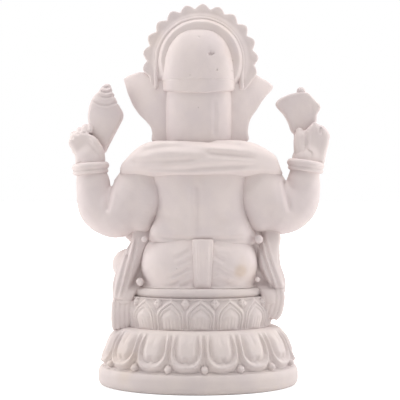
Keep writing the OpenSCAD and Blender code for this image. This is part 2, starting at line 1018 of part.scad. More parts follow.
plinth();
lower_lotus_core();
lower_lotus_petals();
lower_lotus_buds();
upper_lotus_core();
upper_lotus_petals();
upper_lotus_tips();
seat_slab();
dhoti_hips();
dhoti_tail();
dhoti_apron();
left_leg();
right_leg();
left_foot();
right_foot();
anklets();
torso();
belly();
waist_belt();
sacred_thread();
necklace();
pendant();
shawl();
left_shawl_end();
right_shawl_end();
shawl_tassels();
garment_beads();
left_rear_upper_arm();
right_rear_upper_arm();
left_rear_forearm();
right_rear_forearm();
left_rear_bangles();
right_rear_bangles();
left_rear_hand();
right_rear_hand();
conch();
axe_shaft();
axe_head();
left_front_arm();
right_front_arm();
front_bangles();
left_front_hand();
right_front_hand();
sweet_bowl();
head();
trunk();
left_tusk();
right_tusk();
left_ear();
right_ear();
crown_band();
crown_dome();
crown_crest();
halo_plate();
halo_ring();
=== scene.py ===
"""Seated Ganesha idol in white cast marble dust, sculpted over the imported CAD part."""

from math import cos, pi, radians, sin, tau

import bmesh
import bpy
import numpy as np
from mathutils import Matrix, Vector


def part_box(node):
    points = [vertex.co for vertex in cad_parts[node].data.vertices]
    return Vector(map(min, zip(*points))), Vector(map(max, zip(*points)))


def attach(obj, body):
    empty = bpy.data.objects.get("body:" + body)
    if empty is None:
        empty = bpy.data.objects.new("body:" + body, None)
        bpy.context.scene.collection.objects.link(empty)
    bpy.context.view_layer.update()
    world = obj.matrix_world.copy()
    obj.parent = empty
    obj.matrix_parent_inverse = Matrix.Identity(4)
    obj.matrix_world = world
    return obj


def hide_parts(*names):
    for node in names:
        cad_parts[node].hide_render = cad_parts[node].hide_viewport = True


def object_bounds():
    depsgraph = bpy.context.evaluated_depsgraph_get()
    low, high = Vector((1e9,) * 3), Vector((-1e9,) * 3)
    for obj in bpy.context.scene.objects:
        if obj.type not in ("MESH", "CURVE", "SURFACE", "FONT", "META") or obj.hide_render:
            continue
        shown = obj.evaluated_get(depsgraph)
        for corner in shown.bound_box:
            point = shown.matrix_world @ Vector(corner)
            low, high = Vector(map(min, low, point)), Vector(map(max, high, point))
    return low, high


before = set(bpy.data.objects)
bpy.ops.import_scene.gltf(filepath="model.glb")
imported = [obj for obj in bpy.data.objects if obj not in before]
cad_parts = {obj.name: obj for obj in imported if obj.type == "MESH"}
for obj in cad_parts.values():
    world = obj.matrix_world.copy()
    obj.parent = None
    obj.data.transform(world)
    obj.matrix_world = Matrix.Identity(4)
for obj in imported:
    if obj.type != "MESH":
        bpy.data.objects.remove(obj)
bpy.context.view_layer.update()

import openvdb

MM = 0.001
CLAY_STEP = 0.32
FAR = 4.0
OVAL = 60 / 79
LOWER_PETALS = 15
UPPER_PETALS = 14
TOOTH_PITCH = 16.64
WELD = 2e-6
CRUMB_CORNERS = 60


# ---- points and curves, in millimetres ----


def place(node, x, y, z):
    """Returns a function for points drawn in millimetres. It moves them so that the drawing's (x, y, z) lies
    at the middle of the CAD node's box. Numbers after the third, such as a radius, stay as they are."""
    low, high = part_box(node)
    shift = (np.array(low) + np.array(high)) / 2 / MM - (x, y, z)

    def point(*drawn):
        moved = np.array(drawn, float)
        moved[:3] += shift
        return moved

    return point


def smooth_path(points, count, closed=False):
    """Rows of numbers on a Catmull-Rom curve through the given rows."""
    p = np.array(points, float)
    if closed:
        p = np.vstack([p[-1], p, p[0], p[1]])
    else:
        p = np.vstack([2 * p[0] - p[1], p, 2 * p[-1] - p[-2]])
    t = np.linspace(0, len(p) - 3, count, endpoint=not closed)
    i = np.minimum(t.astype(int), len(p) - 4)
    f = (t - i)[:, None]
    a, b, c, d = p[i], p[i + 1], p[i + 2], p[i + 3]
    return 0.5 * (2 * b + (c - a) * f + (2 * a - 5 * b + 4 * c - d) * f**2 + (3 * b - a - 3 * c + d) * f**3)


def ease(t):
    """0 below 0, 1 above 1, and a smooth step between."""
    t = np.clip(t, 0, 1)
    return t * t * (3 - 2 * t)


def bump(distance, width):
    """1 at distance 0, falling smoothly towards 0 beyond the width."""
    return np.exp(-((distance / width) ** 2))


def soft_min(a, b, blend):
    if blend <= 0:
        return np.minimum(a, b)
    near = np.maximum(blend - np.abs(a - b), 0)
    return np.minimum(a, b) - near * near / (4 * blend)


def soft_max(a, b, blend):
    return -soft_min(-a, -b, blend)


def to_curve(u, v, points):
    """Distance from (u, v) to a smooth curve through 2D points, and the share of the curve at the nearest place."""
    path = smooth_path(points, 8 * len(points))
    best = np.full(np.broadcast_shapes(u.shape, v.shape), 1e9)
    share = np.zeros_like(best)
    for k, (a, b) in enumerate(zip(path[:-1], path[1:])):
        e = b - a
        t = np.clip(((u - a[0]) * e[0] + (v - a[1]) * e[1]) / (e @ e + 1e-12), 0, 1)
        d = np.hypot(u - a[0] - t * e[0], v - a[1] - t * e[1])
        closer = d < best
        best = np.where(closer, d, best)
        share = np.where(closer, (k + t) / (len(path) - 1), share)
    return best, share


def polygon_distance(points, u, v):
    """Distance from (u, v) to a closed outline, below zero inside it."""
    best = np.full(np.broadcast_shapes(u.shape, v.shape), 1e9)
    inside = np.zeros(best.shape, bool)
    for a, b in zip(points, np.roll(points, -1, axis=0)):
        e = b - a
        t = np.clip(((u - a[0]) * e[0] + (v - a[1]) * e[1]) / (e @ e + 1e-12), 0, 1)
        best = np.minimum(best, np.hypot(u - a[0] - t * e[0], v - a[1] - t * e[1]))
        if a[1] != b[1]:
            inside ^= ((a[1] > v) != (b[1] > v)) & (u < a[0] + (v - a[1]) * e[0] / e[1])
    return np.where(inside, -best, best)


# ---- shapes as signed distances, in millimetres ----


class Shape:
    """A solid: its box, and field(x, y, z), the distance to its surface, below zero inside."""

    def __init__(self, low, high, field):
        self.low, self.high, self.field = np.array(low, float), np.array(high, float), field


def ball(centre, radius):
    c = centre[:3]
    return Shape(
        c - radius, c + radius, lambda x, y, z: np.sqrt((x - c[0]) ** 2 + (y - c[1]) ** 2 + (z - c[2]) ** 2) - radius
    )


def turned(tilt, spin=0.0):
    """Axes of a piece leaned by tilt about Y and then turned by spin about Z, in degrees."""
    a, b = radians(tilt), radians(spin)
    lean = np.array([[cos(a), 0, sin(a)], [0, 1, 0], [-sin(a), 0, cos(a)]])
    turn = np.array([[cos(b), -sin(b), 0], [sin(b), cos(b), 0], [0, 0, 1]])
    return turn @ lean


def egg(centre, radii, axes=np.eye(3)):
    """An ellipsoid; the columns of axes are the directions of its radii."""
    c, r = centre[:3], np.array(radii, float)
    reach = np.abs(axes) @ r

    def field(x, y, z):
        local = [(x - c[0]) * axes[0, k] + (y - c[1]) * axes[1, k] + (z - c[2]) * axes[2, k] for k in range(3)]
        size = np.sqrt(sum((p / q) ** 2 for p, q in zip(local, r)))
        slope = np.sqrt(sum((p / q**2) ** 2 for p, q in zip(local, r)))
        return size * (size - 1) / np.maximum(slope, 1e-6)

    return Shape(c - reach, c + reach, field)


def ring(centre, axes, major, minor, height=1.0):
    """A torus round the third direction of axes; height stretches its section along that direction."""
    c = centre[:3]
    reach = np.full(3, major + minor)

    def field(x, y, z):
        u, v, w = (
            (x - c[0]) * axes[0, k] + (y - c[1]) * axes[1, k] + (z - c[2]) * axes[2, k] for k in range(3)
        )
        return np.hypot(np.hypot(u, v) - major, w / height) - minor

    return Shape(c - reach, c + reach, field)


def tube(stations, steps=24, ripple=0.0, waves=0):
    """A round limb through stations of x, y, z and radius; ripple and waves ring it with small folds."""
    path = smooth_path(stations, steps + 1)
    share = np.linspace(0, 1, steps + 1)
    path[:, 3] += ripple * np.cos(tau * waves * share) * np.sin(pi * share)
    low = (path[:, :3] - path[:, 3:]).min(0)
    high = (path[:, :3] + path[:, 3:]).max(0)

    def field(x, y, z):
        d = np.full(np.broadcast_shapes(x.shape, y.shape, z.shape), FAR, np.float32)
        axes = [x.ravel(), y.ravel(), z.ravel()]
        for a, b in zip(path[:-1], path[1:]):
            reach = max(a[3], b[3]) + FAR
            part = tuple(
                slice(*np.searchsorted(axes[k], (min(a[k], b[k]) - reach, max(a[k], b[k]) + reach))) for k in range(3)
            )
            px = axes[0][part[0], None, None] - a[0]
            py = axes[1][None, part[1], None] - a[1]
            pz = axes[2][None, None, part[2]] - a[2]
            e = b[:3] - a[:3]
            t = np.clip((px * e[0] + py * e[1] + pz * e[2]) / (e @ e + 1e-12), 0, 1)
            gap = np.sqrt((px - t * e[0]) ** 2 + (py - t * e[1]) ** 2 + (pz - t * e[2]) ** 2)
            np.minimum(d[part], gap - a[3] - t * (b[3] - a[3]), out=d[part], casting="unsafe")
        return d

    return Shape(low, high, field)


def column(stations, square=2.4, along=2, edge=1.0):
    """Rounded-square cross sections stacked along one axis. A station is x, y, z and the half sizes along the
    other two axes, in their order."""
    rows = smooth_path(stations, 8 * len(stations))
    rows = rows[np.argsort(rows[:, along])]
    u_axis, v_axis = [k for k in range(3) if k != along]
    low, high = rows[:, :3].min(0), rows[:, :3].max(0)
    for axis, size in ((u_axis, 3), (v_axis, 4)):
        low[axis] = (rows[:, axis] - rows[:, size]).min()
        high[axis] = (rows[:, axis] + rows[:, size]).max()

    def field(x, y, z):
        axes = [x, y, z]
        t = axes[along]
        at = [np.interp(t, rows[:, along], rows[:, k]) for k in range(5)]
        u = np.abs(axes[u_axis] - at[u_axis]) / at[3] + 1e-6
        v = np.abs(axes[v_axis] - at[v_axis]) / at[4] + 1e-6
        size = (u**square + v**square) ** (1 / square)
        slope = np.hypot(u ** (square - 1) / at[3], v ** (square - 1) / at[4]) / size ** (square - 1)
        ends = np.maximum(rows[0, along] - t, t - rows[-1, along])
        return soft_max((size - 1) / slope, ends + 0 * size, edge)

    return Shape(low, high, field)


def plate(outline, middle, half, edge=0.8, steps=6, smooth=True):
    """A plate seen from the front. outline is points of x and z; middle and half give its depth along Y and its
    half thickness, as numbers or functions of x and z."""
    outline = np.array(outline, float)
    if smooth:
        outline = smooth_path(outline, steps * len(outline), closed=True)
    corners = np.array([[x, z] for x, z in outline])
    grid_x, grid_z = corners[:, 0], corners[:, 1]
    depths = [f(grid_x, grid_z) if callable(f) else np.full(len(corners), float(f)) for f in (middle, half)]
    low = (grid_x.min(), (depths[0] - depths[1]).min() - 1.5, grid_z.min())
    high = (grid_x.max(), (depths[0] + depths[1]).max() + 1.5, grid_z.max())

    def field(x, y, z):
        side = polygon_distance(outline, x, z)
        centre = middle(x, z) if callable(middle) else middle
        thick = half(x, z) if callable(half) else half
        return soft_max(side, np.abs(y - centre) - thick, edge)

    return Shape(low, high, field)


class Clay:
    """A block of signed distances that shapes are added to, cut from and pressed into."""

    def __init__(self, low, high, step=CLAY_STEP):
        self.step = step
        self.low = np.floor(np.array(low, float) / step - 3) * step
        counts = np.ceil((np.array(high, float) - self.low) / step).astype(int) + 4
        self.distance = np.full(counts, FAR, np.float32)
        self.axes = [self.low[k] + step * np.arange(counts[k]) for k in range(3)]

    def grid(self, part=(slice(None),) * 3):
        x, y, z = (axis[cut] for axis, cut in zip(self.axes, part))
        return x[:, None, None], y[None, :, None], z[None, None, :]

    def _change(self, shape, margin, action):
        part = tuple(
            slice(*np.searchsorted(axis, (shape.low[k] - margin, shape.high[k] + margin)))
            for k, axis in enumerate(self.axes)
        )
        if all(cut.stop > cut.start for cut in part):
            self.distance[part] = action(self.distance[part], np.minimum(shape.field(*self.grid(part)), FAR))

    def add(self, shape, soft=0.0):
        self._change(shape, max(soft, 1.2), lambda old, new: soft_min(old, new, soft))
        return self

    def cut(self, shape, soft=0.0):
        self._change(shape, max(soft, 1.2), lambda old, new: soft_max(old, -new, soft))
        return self

    def press(self, view, sign, start, depth):
        """Pushes the surface in by a depth map, from one side only. view is 0 for a map of y and z pressed
        along X, or 1 for a map of x and z pressed along Y; sign is the side it is pressed from."""
        x, y, z = self.grid()
        across = (x, y)[view]
        flat = (y, x)[view]
        weight = ease((sign * (across - start)) / 2 + 0.5)
        self.distance += (weight * depth(flat, z)).astype(np.float32)
        return self


def creases(curves, width=0.6, depth=0.6, swell=0.5):
    """Depth map of folds: a groove along each curve, with a soft swelling beside it, fading at the ends."""

    def depth_map(u, v):
        total = 0
        for points in curves:
            gap, share = to_curve(u, v, points)
            fade = ease(np.minimum(share, 1 - share) / 0.18)
            total = total + fade * depth * (bump(gap, width) - swell * bump(gap - 2.1 * width, width))
        return total

    return depth_map


# ---- meshes and pieces ----

SLOT_MATERIALS = {}
BLOT_COLOUR = (0.60, 0.47, 0.38)


def finish_piece(name, points, faces, nodes, slot):
    """Makes the mesh object in metres, stands it for its CAD nodes and gives it its finish."""
    mesh = bpy.data.meshes.new(name)
    mesh.from_pydata((points * MM).tolist(), [], faces)
    shell = bmesh.new()
    shell.from_mesh(mesh)
    bmesh.ops.remove_doubles(shell, verts=shell.verts, dist=WELD)
    shell.to_mesh(mesh)
    shell.free()
    mesh.shade_smooth()
    mesh.materials.append(SLOT_MATERIALS[slot])
    piece = bpy.data.objects.new(name, mesh)
    bpy.context.scene.collection.objects.link(piece)
    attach(piece, "root")
    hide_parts(*nodes)
    return piece


def without_crumbs(points, quads):
    """Leaves out the small loose bits that are cut off where two surfaces nearly meet."""
    label = np.arange(len(points))
    while True:
        lower = label.copy()
        np.minimum.at(lower, quads.ravel(), np.repeat(label[quads].min(axis=1), 4))
        lower = lower[lower]
        if (lower == label).all():
            break
        label = lower
    sizes = np.bincount(label)
    whole = quads[sizes[label[quads[:, 0]]] > CRUMB_CORNERS]
    used, quads = np.unique(whole, return_inverse=True)
    return points[used], quads.reshape(-1, 4)


def sculpt(name, clay, nodes, slot):
    """Turns a block of clay into a closed mesh, with the slight unevenness of a cast surface."""
    x, y, z = clay.grid()
    uneven = np.sin(0.71 * x + 0.33 * z + 1) * np.sin(0.53 * y - 0.47 * z) + np.sin(0.9 * z + 0.4 * y) * np.sin(1.1 * x)
    distance = clay.distance + (0.045 * uneven).astype(np.float32)
    grid = openvdb.FloatGrid(background=FAR)
    grid.copyFromArray(distance)
    grid.transform = openvdb.createLinearTransform(voxelSize=clay.step)
    points, quads = grid.convertToQuads(isovalue=0)
    points, quads = without_crumbs(points.astype(float) + clay.low, quads)
    a, b, c, d = (points[quads[:, k]] for k in range(4))
    volume = np.einsum("ij,ij->i", a, np.cross(b, c)).sum() + np.einsum("ij,ij->i", a, np.cross(c, d)).sum()
    if volume < 0:
        quads = quads[:, ::-1]
    return finish_piece(name, points, quads.tolist(), nodes, slot)


def oval_turns(count):
    """Angles at equal distances round the oval."""
    fine = np.linspace(0, tau, 7201)
    ds = np.hypot(np.diff(np.cos(fine)), OVAL * np.diff(np.sin(fine)))
    length = np.concatenate([[0], np.cumsum(ds)])
    return np.interp(np.linspace(0, length[-1], count, endpoint=False), length, fine), length[-1]


def oval_lathe(name, rows, nodes, slot, relief=None, petals=1, turn=0.0, columns=900):
    """A turned block on the base's oval. rows are (radius, height) from bottom to top. relief(u, z, side) gives
    an outward height, where u is the distance from the middle of a petal and side its half room."""
    rows = np.array(rows, float)
    angles, length = oval_turns(columns)
    share = (np.arange(columns) / columns - 0.25 - turn / petals) * petals
    u = (share + 0.5) % 1 - 0.5
    radius, height = rows[:, 0][:, None], rows[:, 1][:, None]
    out = np.zeros((len(rows), columns))
    if relief is not None:
        pitch = radius * length / petals
        out = relief(u[None, :] * pitch, height + 0 * u[None, :], pitch / 2)
    normal = np.stack([OVAL * np.cos(angles), np.sin(angles)])
    normal /= np.hypot(*normal)
    x = radius * np.cos(angles) + out * normal[0]
    y = radius * OVAL * np.sin(angles) + out * normal[1]
    wall = np.stack([x, y, height + 0 * x], axis=2).reshape(-1, 3)
    points = np.vstack([wall, [0, 0, rows[0, 1]], [0, 0, rows[-1, 1]]])
    ids = np.arange(len(rows) * columns).reshape(len(rows), columns)
    right = np.roll(ids, -1, axis=1)
    quads = np.stack([ids[:-1], right[:-1], right[1:], ids[1:]], axis=2).reshape(-1, 4).tolist()
    bottom, top = len(wall), len(wall) + 1
    fans = [[bottom, int(r), int(l)] for l, r in zip(ids[0], right[0])]
    fans += [[top, int(l), int(r)] for l, r in zip(ids[-1], right[-1])]
    return finish_piece(name, points, quads + fans, nodes, slot)


# ---- cast marble dust ----


def marble_dust(name, light, dark, stain, seed, blot=None):
    """White cast marble dust: cloudy tint, fine grain, small air pits, faint warm stains, and painted shade that
    darkens the hollows.
    blot is the place of one larger stain, in metres."""
    material = bpy.data.materials.new(name)
    material.use_nodes = True
    nodes, links = material.node_tree.nodes, material.node_tree.links
    shader = nodes["Principled BSDF"]
    shader.inputs["Metallic"].default_value = 0.0
    shader.inputs["Specular IOR Level"].default_value = 0.35
    where = nodes.new("ShaderNodeTexCoord").outputs["Object"]

    def noise(scale, detail, shift=0.0):
        offset = nodes.new("ShaderNodeVectorMath")
        offset.inputs[1].default_value = (seed + shift, seed * 0.7 - shift, shift)
        links.new(where, offset.inputs[0])
        node = nodes.new("ShaderNodeTexNoise")
        node.inputs["Scale"].default_value = scale
        node.inputs["Detail"].default_value = detail
        links.new(offset.outputs[0], node.inputs["Vector"])
        return node.outputs["Fac"]

    def between(value, low, high, low_out=0.0, high_out=1.0):
        node = nodes.new("ShaderNodeMapRange")
        for key, number in zip(("From Min", "From Max", "To Min", "To Max"), (low, high, low_out, high_out)):
            node.inputs[key].default_value = number
        node.interpolation_type = "SMOOTHSTEP"
        links.new(value, node.inputs["Value"])
        return node.outputs["Result"]

    def mixed(factor, first, second, kind="MIX"):
        node = nodes.new("ShaderNodeMix")
        node.data_type = "RGBA"
        node.blend_type = kind
        links.new(factor, node.inputs["Factor"])
        for socket, value in ((node.inputs[6], first), (node.inputs[7], second)):
            if isinstance(value, tuple):
                socket.default_value = (*value, 1)
            else:
                links.new(value, socket)
        return node.outputs[2]

    def times(first, second, operation="MULTIPLY"):
        node = nodes.new("ShaderNodeMath")
        node.operation = operation
        for socket, value in zip(node.inputs, (first, second)):
            if isinstance(value, float):
                socket.default_value = value
            else:
                links.new(value, socket)
        return node.outputs[0]

    clouds = between(noise(70, 3), 0.36, 0.64)
    colour = mixed(clouds, light, dark)
    patches = between(noise(38, 2, 3.1), 0.60, 0.74, 0.0, 0.30)
    colour = mixed(patches, colour, stain)
    if blot is not None:
        away = nodes.new("ShaderNodeVectorMath")
        away.operation = "DISTANCE"
        away.inputs[1].default_value = blot
        links.new(where, away.inputs[0])
        colour = mixed(between(away.outputs["Value"], 0.0036, 0.0012, 0.0, 0.6), colour, BLOT_COLOUR)
    # painted shade: hollows, found by pointiness, are given a darker colour as if shaded
    hollow = between(nodes.new("ShaderNodeNewGeometry").outputs["Pointiness"], 0.485, 0.43, 0.0, 0.16)
    colour = mixed(hollow, colour, tuple(0.72 * part for part in dark))
    grain = noise(2600, 2, 1.7)
    colour = mixed(between(grain, 0.35, 0.7, 0.0, 0.10), colour, tuple(0.86 * part for part in dark))

    cells = nodes.new("ShaderNodeTexVoronoi")
    cells.inputs["Scale"].default_value = 330
    links.new(where, cells.inputs["Vector"])
    few = between(times(cells.outputs["Color"], 1.0), 0.80, 0.86)
    pits = times(between(cells.outputs["Distance"], 0.085, 0.04), few)
    colour = mixed(times(pits, 0.6), colour, (0.30, 0.25, 0.22))
    links.new(colour, shader.inputs["Base Color"])
    links.new(between(noise(420, 3, 5.0), 0.3, 0.7, 0.56, 0.74), shader.inputs["Roughness"])

    coarse = nodes.new("ShaderNodeBump")
    coarse.inputs["Strength"].default_value = 0.22
    coarse.inputs["Distance"].default_value = 0.0004
    links.new(noise(300, 4, 2.2), coarse.inputs["Height"])
    fine = nodes.new("ShaderNodeBump")
    fine.inputs["Strength"].default_value = 0.16
    fine.inputs["Distance"].default_value = 0.0001
    links.new(grain, fine.inputs["Height"])
    links.new(coarse.outputs["Normal"], fine.inputs["Normal"])
    dents = nodes.new("ShaderNodeBump")
    dents.invert = True
    dents.inputs["Strength"].default_value = 0.7
    dents.inputs["Distance"].default_value = 0.0003
    links.new(pits, dents.inputs["Height"])
    links.new(fine.outputs["Normal"], dents.inputs["Normal"])
    links.new(dents.outputs["Normal"], shader.inputs["Normal"])
    return material


# the base's copy of the marble dust is painted darker than the figure's: painted shade for the low base, which gets
# less light
SLOT_MATERIALS["cast_base"] = marble_dust(
    "marble_dust_base_painted_shade", (0.655, 0.58, 0.56), (0.61, 0.54, 0.535), (0.62, 0.50, 0.40), 1.0
)
SLOT_MATERIALS["cast_figure"] = marble_dust(
    "marble_dust_figure", (0.71, 0.625, 0.61), (0.665, 0.585, 0.585), (0.66, 0.54, 0.47), 4.0
)
HIPS_LOW, HIPS_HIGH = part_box("dhoti_hips")
SLOT_MATERIALS["cast_drapery"] = marble_dust(
    "marble_dust_drapery", (0.72, 0.635, 0.62), (0.68, 0.60, 0.595), (0.64, 0.52, 0.43), 7.0,
    (HIPS_LOW.x + 0.0067, HIPS_HIGH.y - 0.0005, HIPS_LOW.z + 0.0066),
)


# ---- base ----


def heights(low, high, step=0.2):
    return np.linspace(low, high, int(round((high - low) / step)) + 1)


def tier_rows(outline, step=0.2):
    """Rows of a tier of the lotus, with its flat bottom and top."""
    outline = smooth_path(outline, 120)
    z = heights(outline[0, 1], outline[-1, 1], step)
    radius = np.interp(z, outline[:, 1], outline[:, 0])
    rows = [(0.5 * radius[0], z[0]), (radius[0] - 3.0, z[0])]
    rows += list(zip(radius, z))
    return rows + [(radius[-1] - 3.0, z[-1]), (0.5 * radius[-1], z[-1])]


def petal_edge(widths, across, rise):
    """Distance in from a petal's edge; widths are (half width, height) from its foot to its tip."""
    half = [(wide, at) for wide, at in widths]
    return -polygon_distance(np.array(half + [(-wide, at) for wide, at in half[::-1]]), across, rise)


def roll(share):
    """Height of a rounded ridge at a share of its width, 0 at both sides and 1 in the middle."""
    return (0.5 - 0.5 * np.cos(tau * np.clip(share, 0, 1))) ** 0.7


def hanging_petal(u, z, room):
    """Relief of a petal of the lower tier: it hangs down, with a thick rolled rim round a full middle."""
    across = np.abs(u) * 6.7 / room
    rise = z - LOWER_FOOT
    outer = ((0.1, 0.9), (1.6, 1.0), (3.1, 1.5), (4.5, 2.5), (5.6, 4), (6.25, 6.2), (6.4, 9), (6.2, 12.5), (5.6, 18))
    inner = ((0.1, 4.5), (1.0, 4.0), (2.3, 4.2), (3.5, 5.1), (4.4, 6.6), (4.7, 9), (4.5, 12.5), (3.9, 18))
    edge = petal_edge(outer, across, rise)
    panel = petal_edge(inner, across, rise)
    rim = -0.5 + 1.25 * roll(edge / np.maximum(edge - panel, 0.4))
    rim = np.where(edge > 0, rim, -0.5 - 0.7 * ease(-edge / 0.9))
    pillow = -0.5 + 1.4 * ease(panel / 2.6) ** 0.8
    relief = np.where(panel > 0, pillow, rim)
    relief -= 0.3 * bump(across, 0.7) * ease((rise - 9) / 3) * (panel > 0)
    relief -= 0.12 * bump(across - 1.9, 0.45) * ease((rise - 10.5) / 3) * (panel > 0)
    bud = 2.3 * np.sqrt(np.clip(1 - ((6.7 - across) / 1.45) ** 2 - ((rise - 1.7) / 1.5) ** 2, 0, 1))
    relief = np.maximum(relief, -1.3 + bud)
    top = ease((LOWER_TOP - z) / 4.5)
    foot = ease(rise / 0.8)
    return foot * relief * top + 0.3 * (1 - foot)


def standing_petal(u, z, room):
    """Relief of a petal of the upper tier: it stands up to a point, with an arch and ribs inside its rim."""
    across = np.abs(u) * 5.9 / room
    rise = z - UPPER_FOOT
    outer = ((5.3, -3), (5.5, 0), (5.65, 6), (5.2, 7.2), (4.2, 8.4), (2.9, 9.5), (1.6, 10.5), (0.5, 11.4), (0.1, 11.9))
    arch = ((4.3, -3), (4.45, 0), (4.6, 5), (4.0, 6.8), (2.9, 8.1), (1.4, 9.3), (0.1, 10.1))
    inner = ((3.5, -3), (3.6, 0), (3.6, 4.6), (3.0, 6.1), (1.8, 7.2), (0.1, 8.1))
    edge, middle, panel = (petal_edge(widths, across, rise) for widths in (outer, arch, inner))
    rim = -0.25 + 0.5 * roll(edge / np.maximum(edge - middle, 0.3))
    band = -0.25 + 0.42 * roll(middle / np.maximum(middle - panel, 0.3))
    pillow = -0.25 + 0.62 * ease(panel / 2.1) ** 0.8
    pillow -= 0.16 * (bump(across, 0.32) + bump(across - 1.4, 0.32)) * ease((5.6 - rise) / 2)
    relief = np.where(panel > 0, pillow, np.where(middle > 0, band, rim))
    side, drop = np.abs(5.9 - across), np.abs(rise - 10.2)
    floret = 2.0 * np.clip(1 - (side + drop) / 2.2, 0, 1) ** 0.6
    floret -= 0.5 * (bump(side, 0.3) + bump(drop, 0.3)) * (side + drop < 2.1)
    relief = np.where(edge > 0, relief, -0.25 - 0.4 * ease(-edge / 0.7) + np.clip(0.8 * floret, 0, 1.2))
    foot = ease(rise / 1.1)
    crown = ease((UPPER_TOP - z) / 0.7)
    return relief * foot * crown + 0.1 * (1 - foot) + 0.15 * (1 - crown)


LOWER_FOOT, LOWER_TOP = (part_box("lower_lotus_core")[k].z / MM for k in range(2))
UPPER_FOOT, UPPER_TOP = (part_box("upper_lotus_core")[k].z / MM for k in range(2))


def make_base():
    foot, top = (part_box("plinth")[k].z / MM for k in range(2))
    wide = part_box("plinth")[1].x / MM
    profile = [(-1.9, 0), (-0.9, 0.35), (-0.25, 1.3), (0, 2.6), (0, 4.8), (-0.25, 6.1), (-0.8, 7.1), (-1.7, 7.6)]
    edge = smooth_path([(wide + r, foot + z * (top - foot) / 7.6) for r, z in profile], 60)
    edge[:, 0] = np.minimum(edge[:, 0], wide)
    edge[:, 1] = np.clip(edge[:, 1], foot, top)
    flats = [(0.5 * wide, foot), (wide - 5, foot)], [(wide - 5, top), (0.5 * wide, top)]
    oval_lathe("plinth_block", flats[0] + list(edge) + flats[1], ["plinth"], "cast_base")
    lower = [(37.4, 0), (37.8, 1.4), (37.4, 3.8), (36.5, 6.2), (35.6, 8.6), (34.6, 10.9), (33.3, 13), (32, 14.6), (29.8, 15.4)]
    oval_lathe(
        "lower_lotus", tier_rows([(r, LOWER_FOOT + z) for r, z in lower]),
        ["lower_lotus_core", "lower_lotus_petals", "lower_lotus_buds"], "cast_base",
        hanging_petal, LOWER_PETALS, -0.32,
    )
    upper = [(28.3, 0), (28.7, 1.7), (29.3, 4), (29.4, 6), (28.9, 8.5), (28.3, 10.6), (27.9, 12)]
    oval_lathe(
        "upper_lotus", tier_rows([(r, UPPER_FOOT + z) for r, z in upper]),
        ["upper_lotus_core", "upper_lotus_petals", "upper_lotus_tips"], "cast_base",
        standing_petal, UPPER_PETALS, 0.08,
    )
    foot, top = (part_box("seat_slab")[k].z / MM for k in range(2))
    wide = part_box("seat_slab")[1].x / MM
    profile = [(-0.9, 0), (-0.35, 0.4), (0, 1.2), (0, 2.0), (-0.3, 2.8), (-0.9, 3.35), (-1.9, 3.6)]
    edge = smooth_path([(wide + r, foot + z * (top - foot) / 3.6) for r, z in profile], 40)
    edge[:, 0] = np.minimum(edge[:, 0], wide)
    edge[:, 1] = np.clip(edge[:, 1], foot, top)
    flats = [(0.5 * wide, foot), (wide - 4, foot)], [(wide - 4, top), (0.5 * wide, top)]
    oval_lathe("seat", flats[0] + list(edge) + flats[1], ["seat_slab"], "cast_base")


# ---- seen from the photograph's side: hips, back, shawl ----


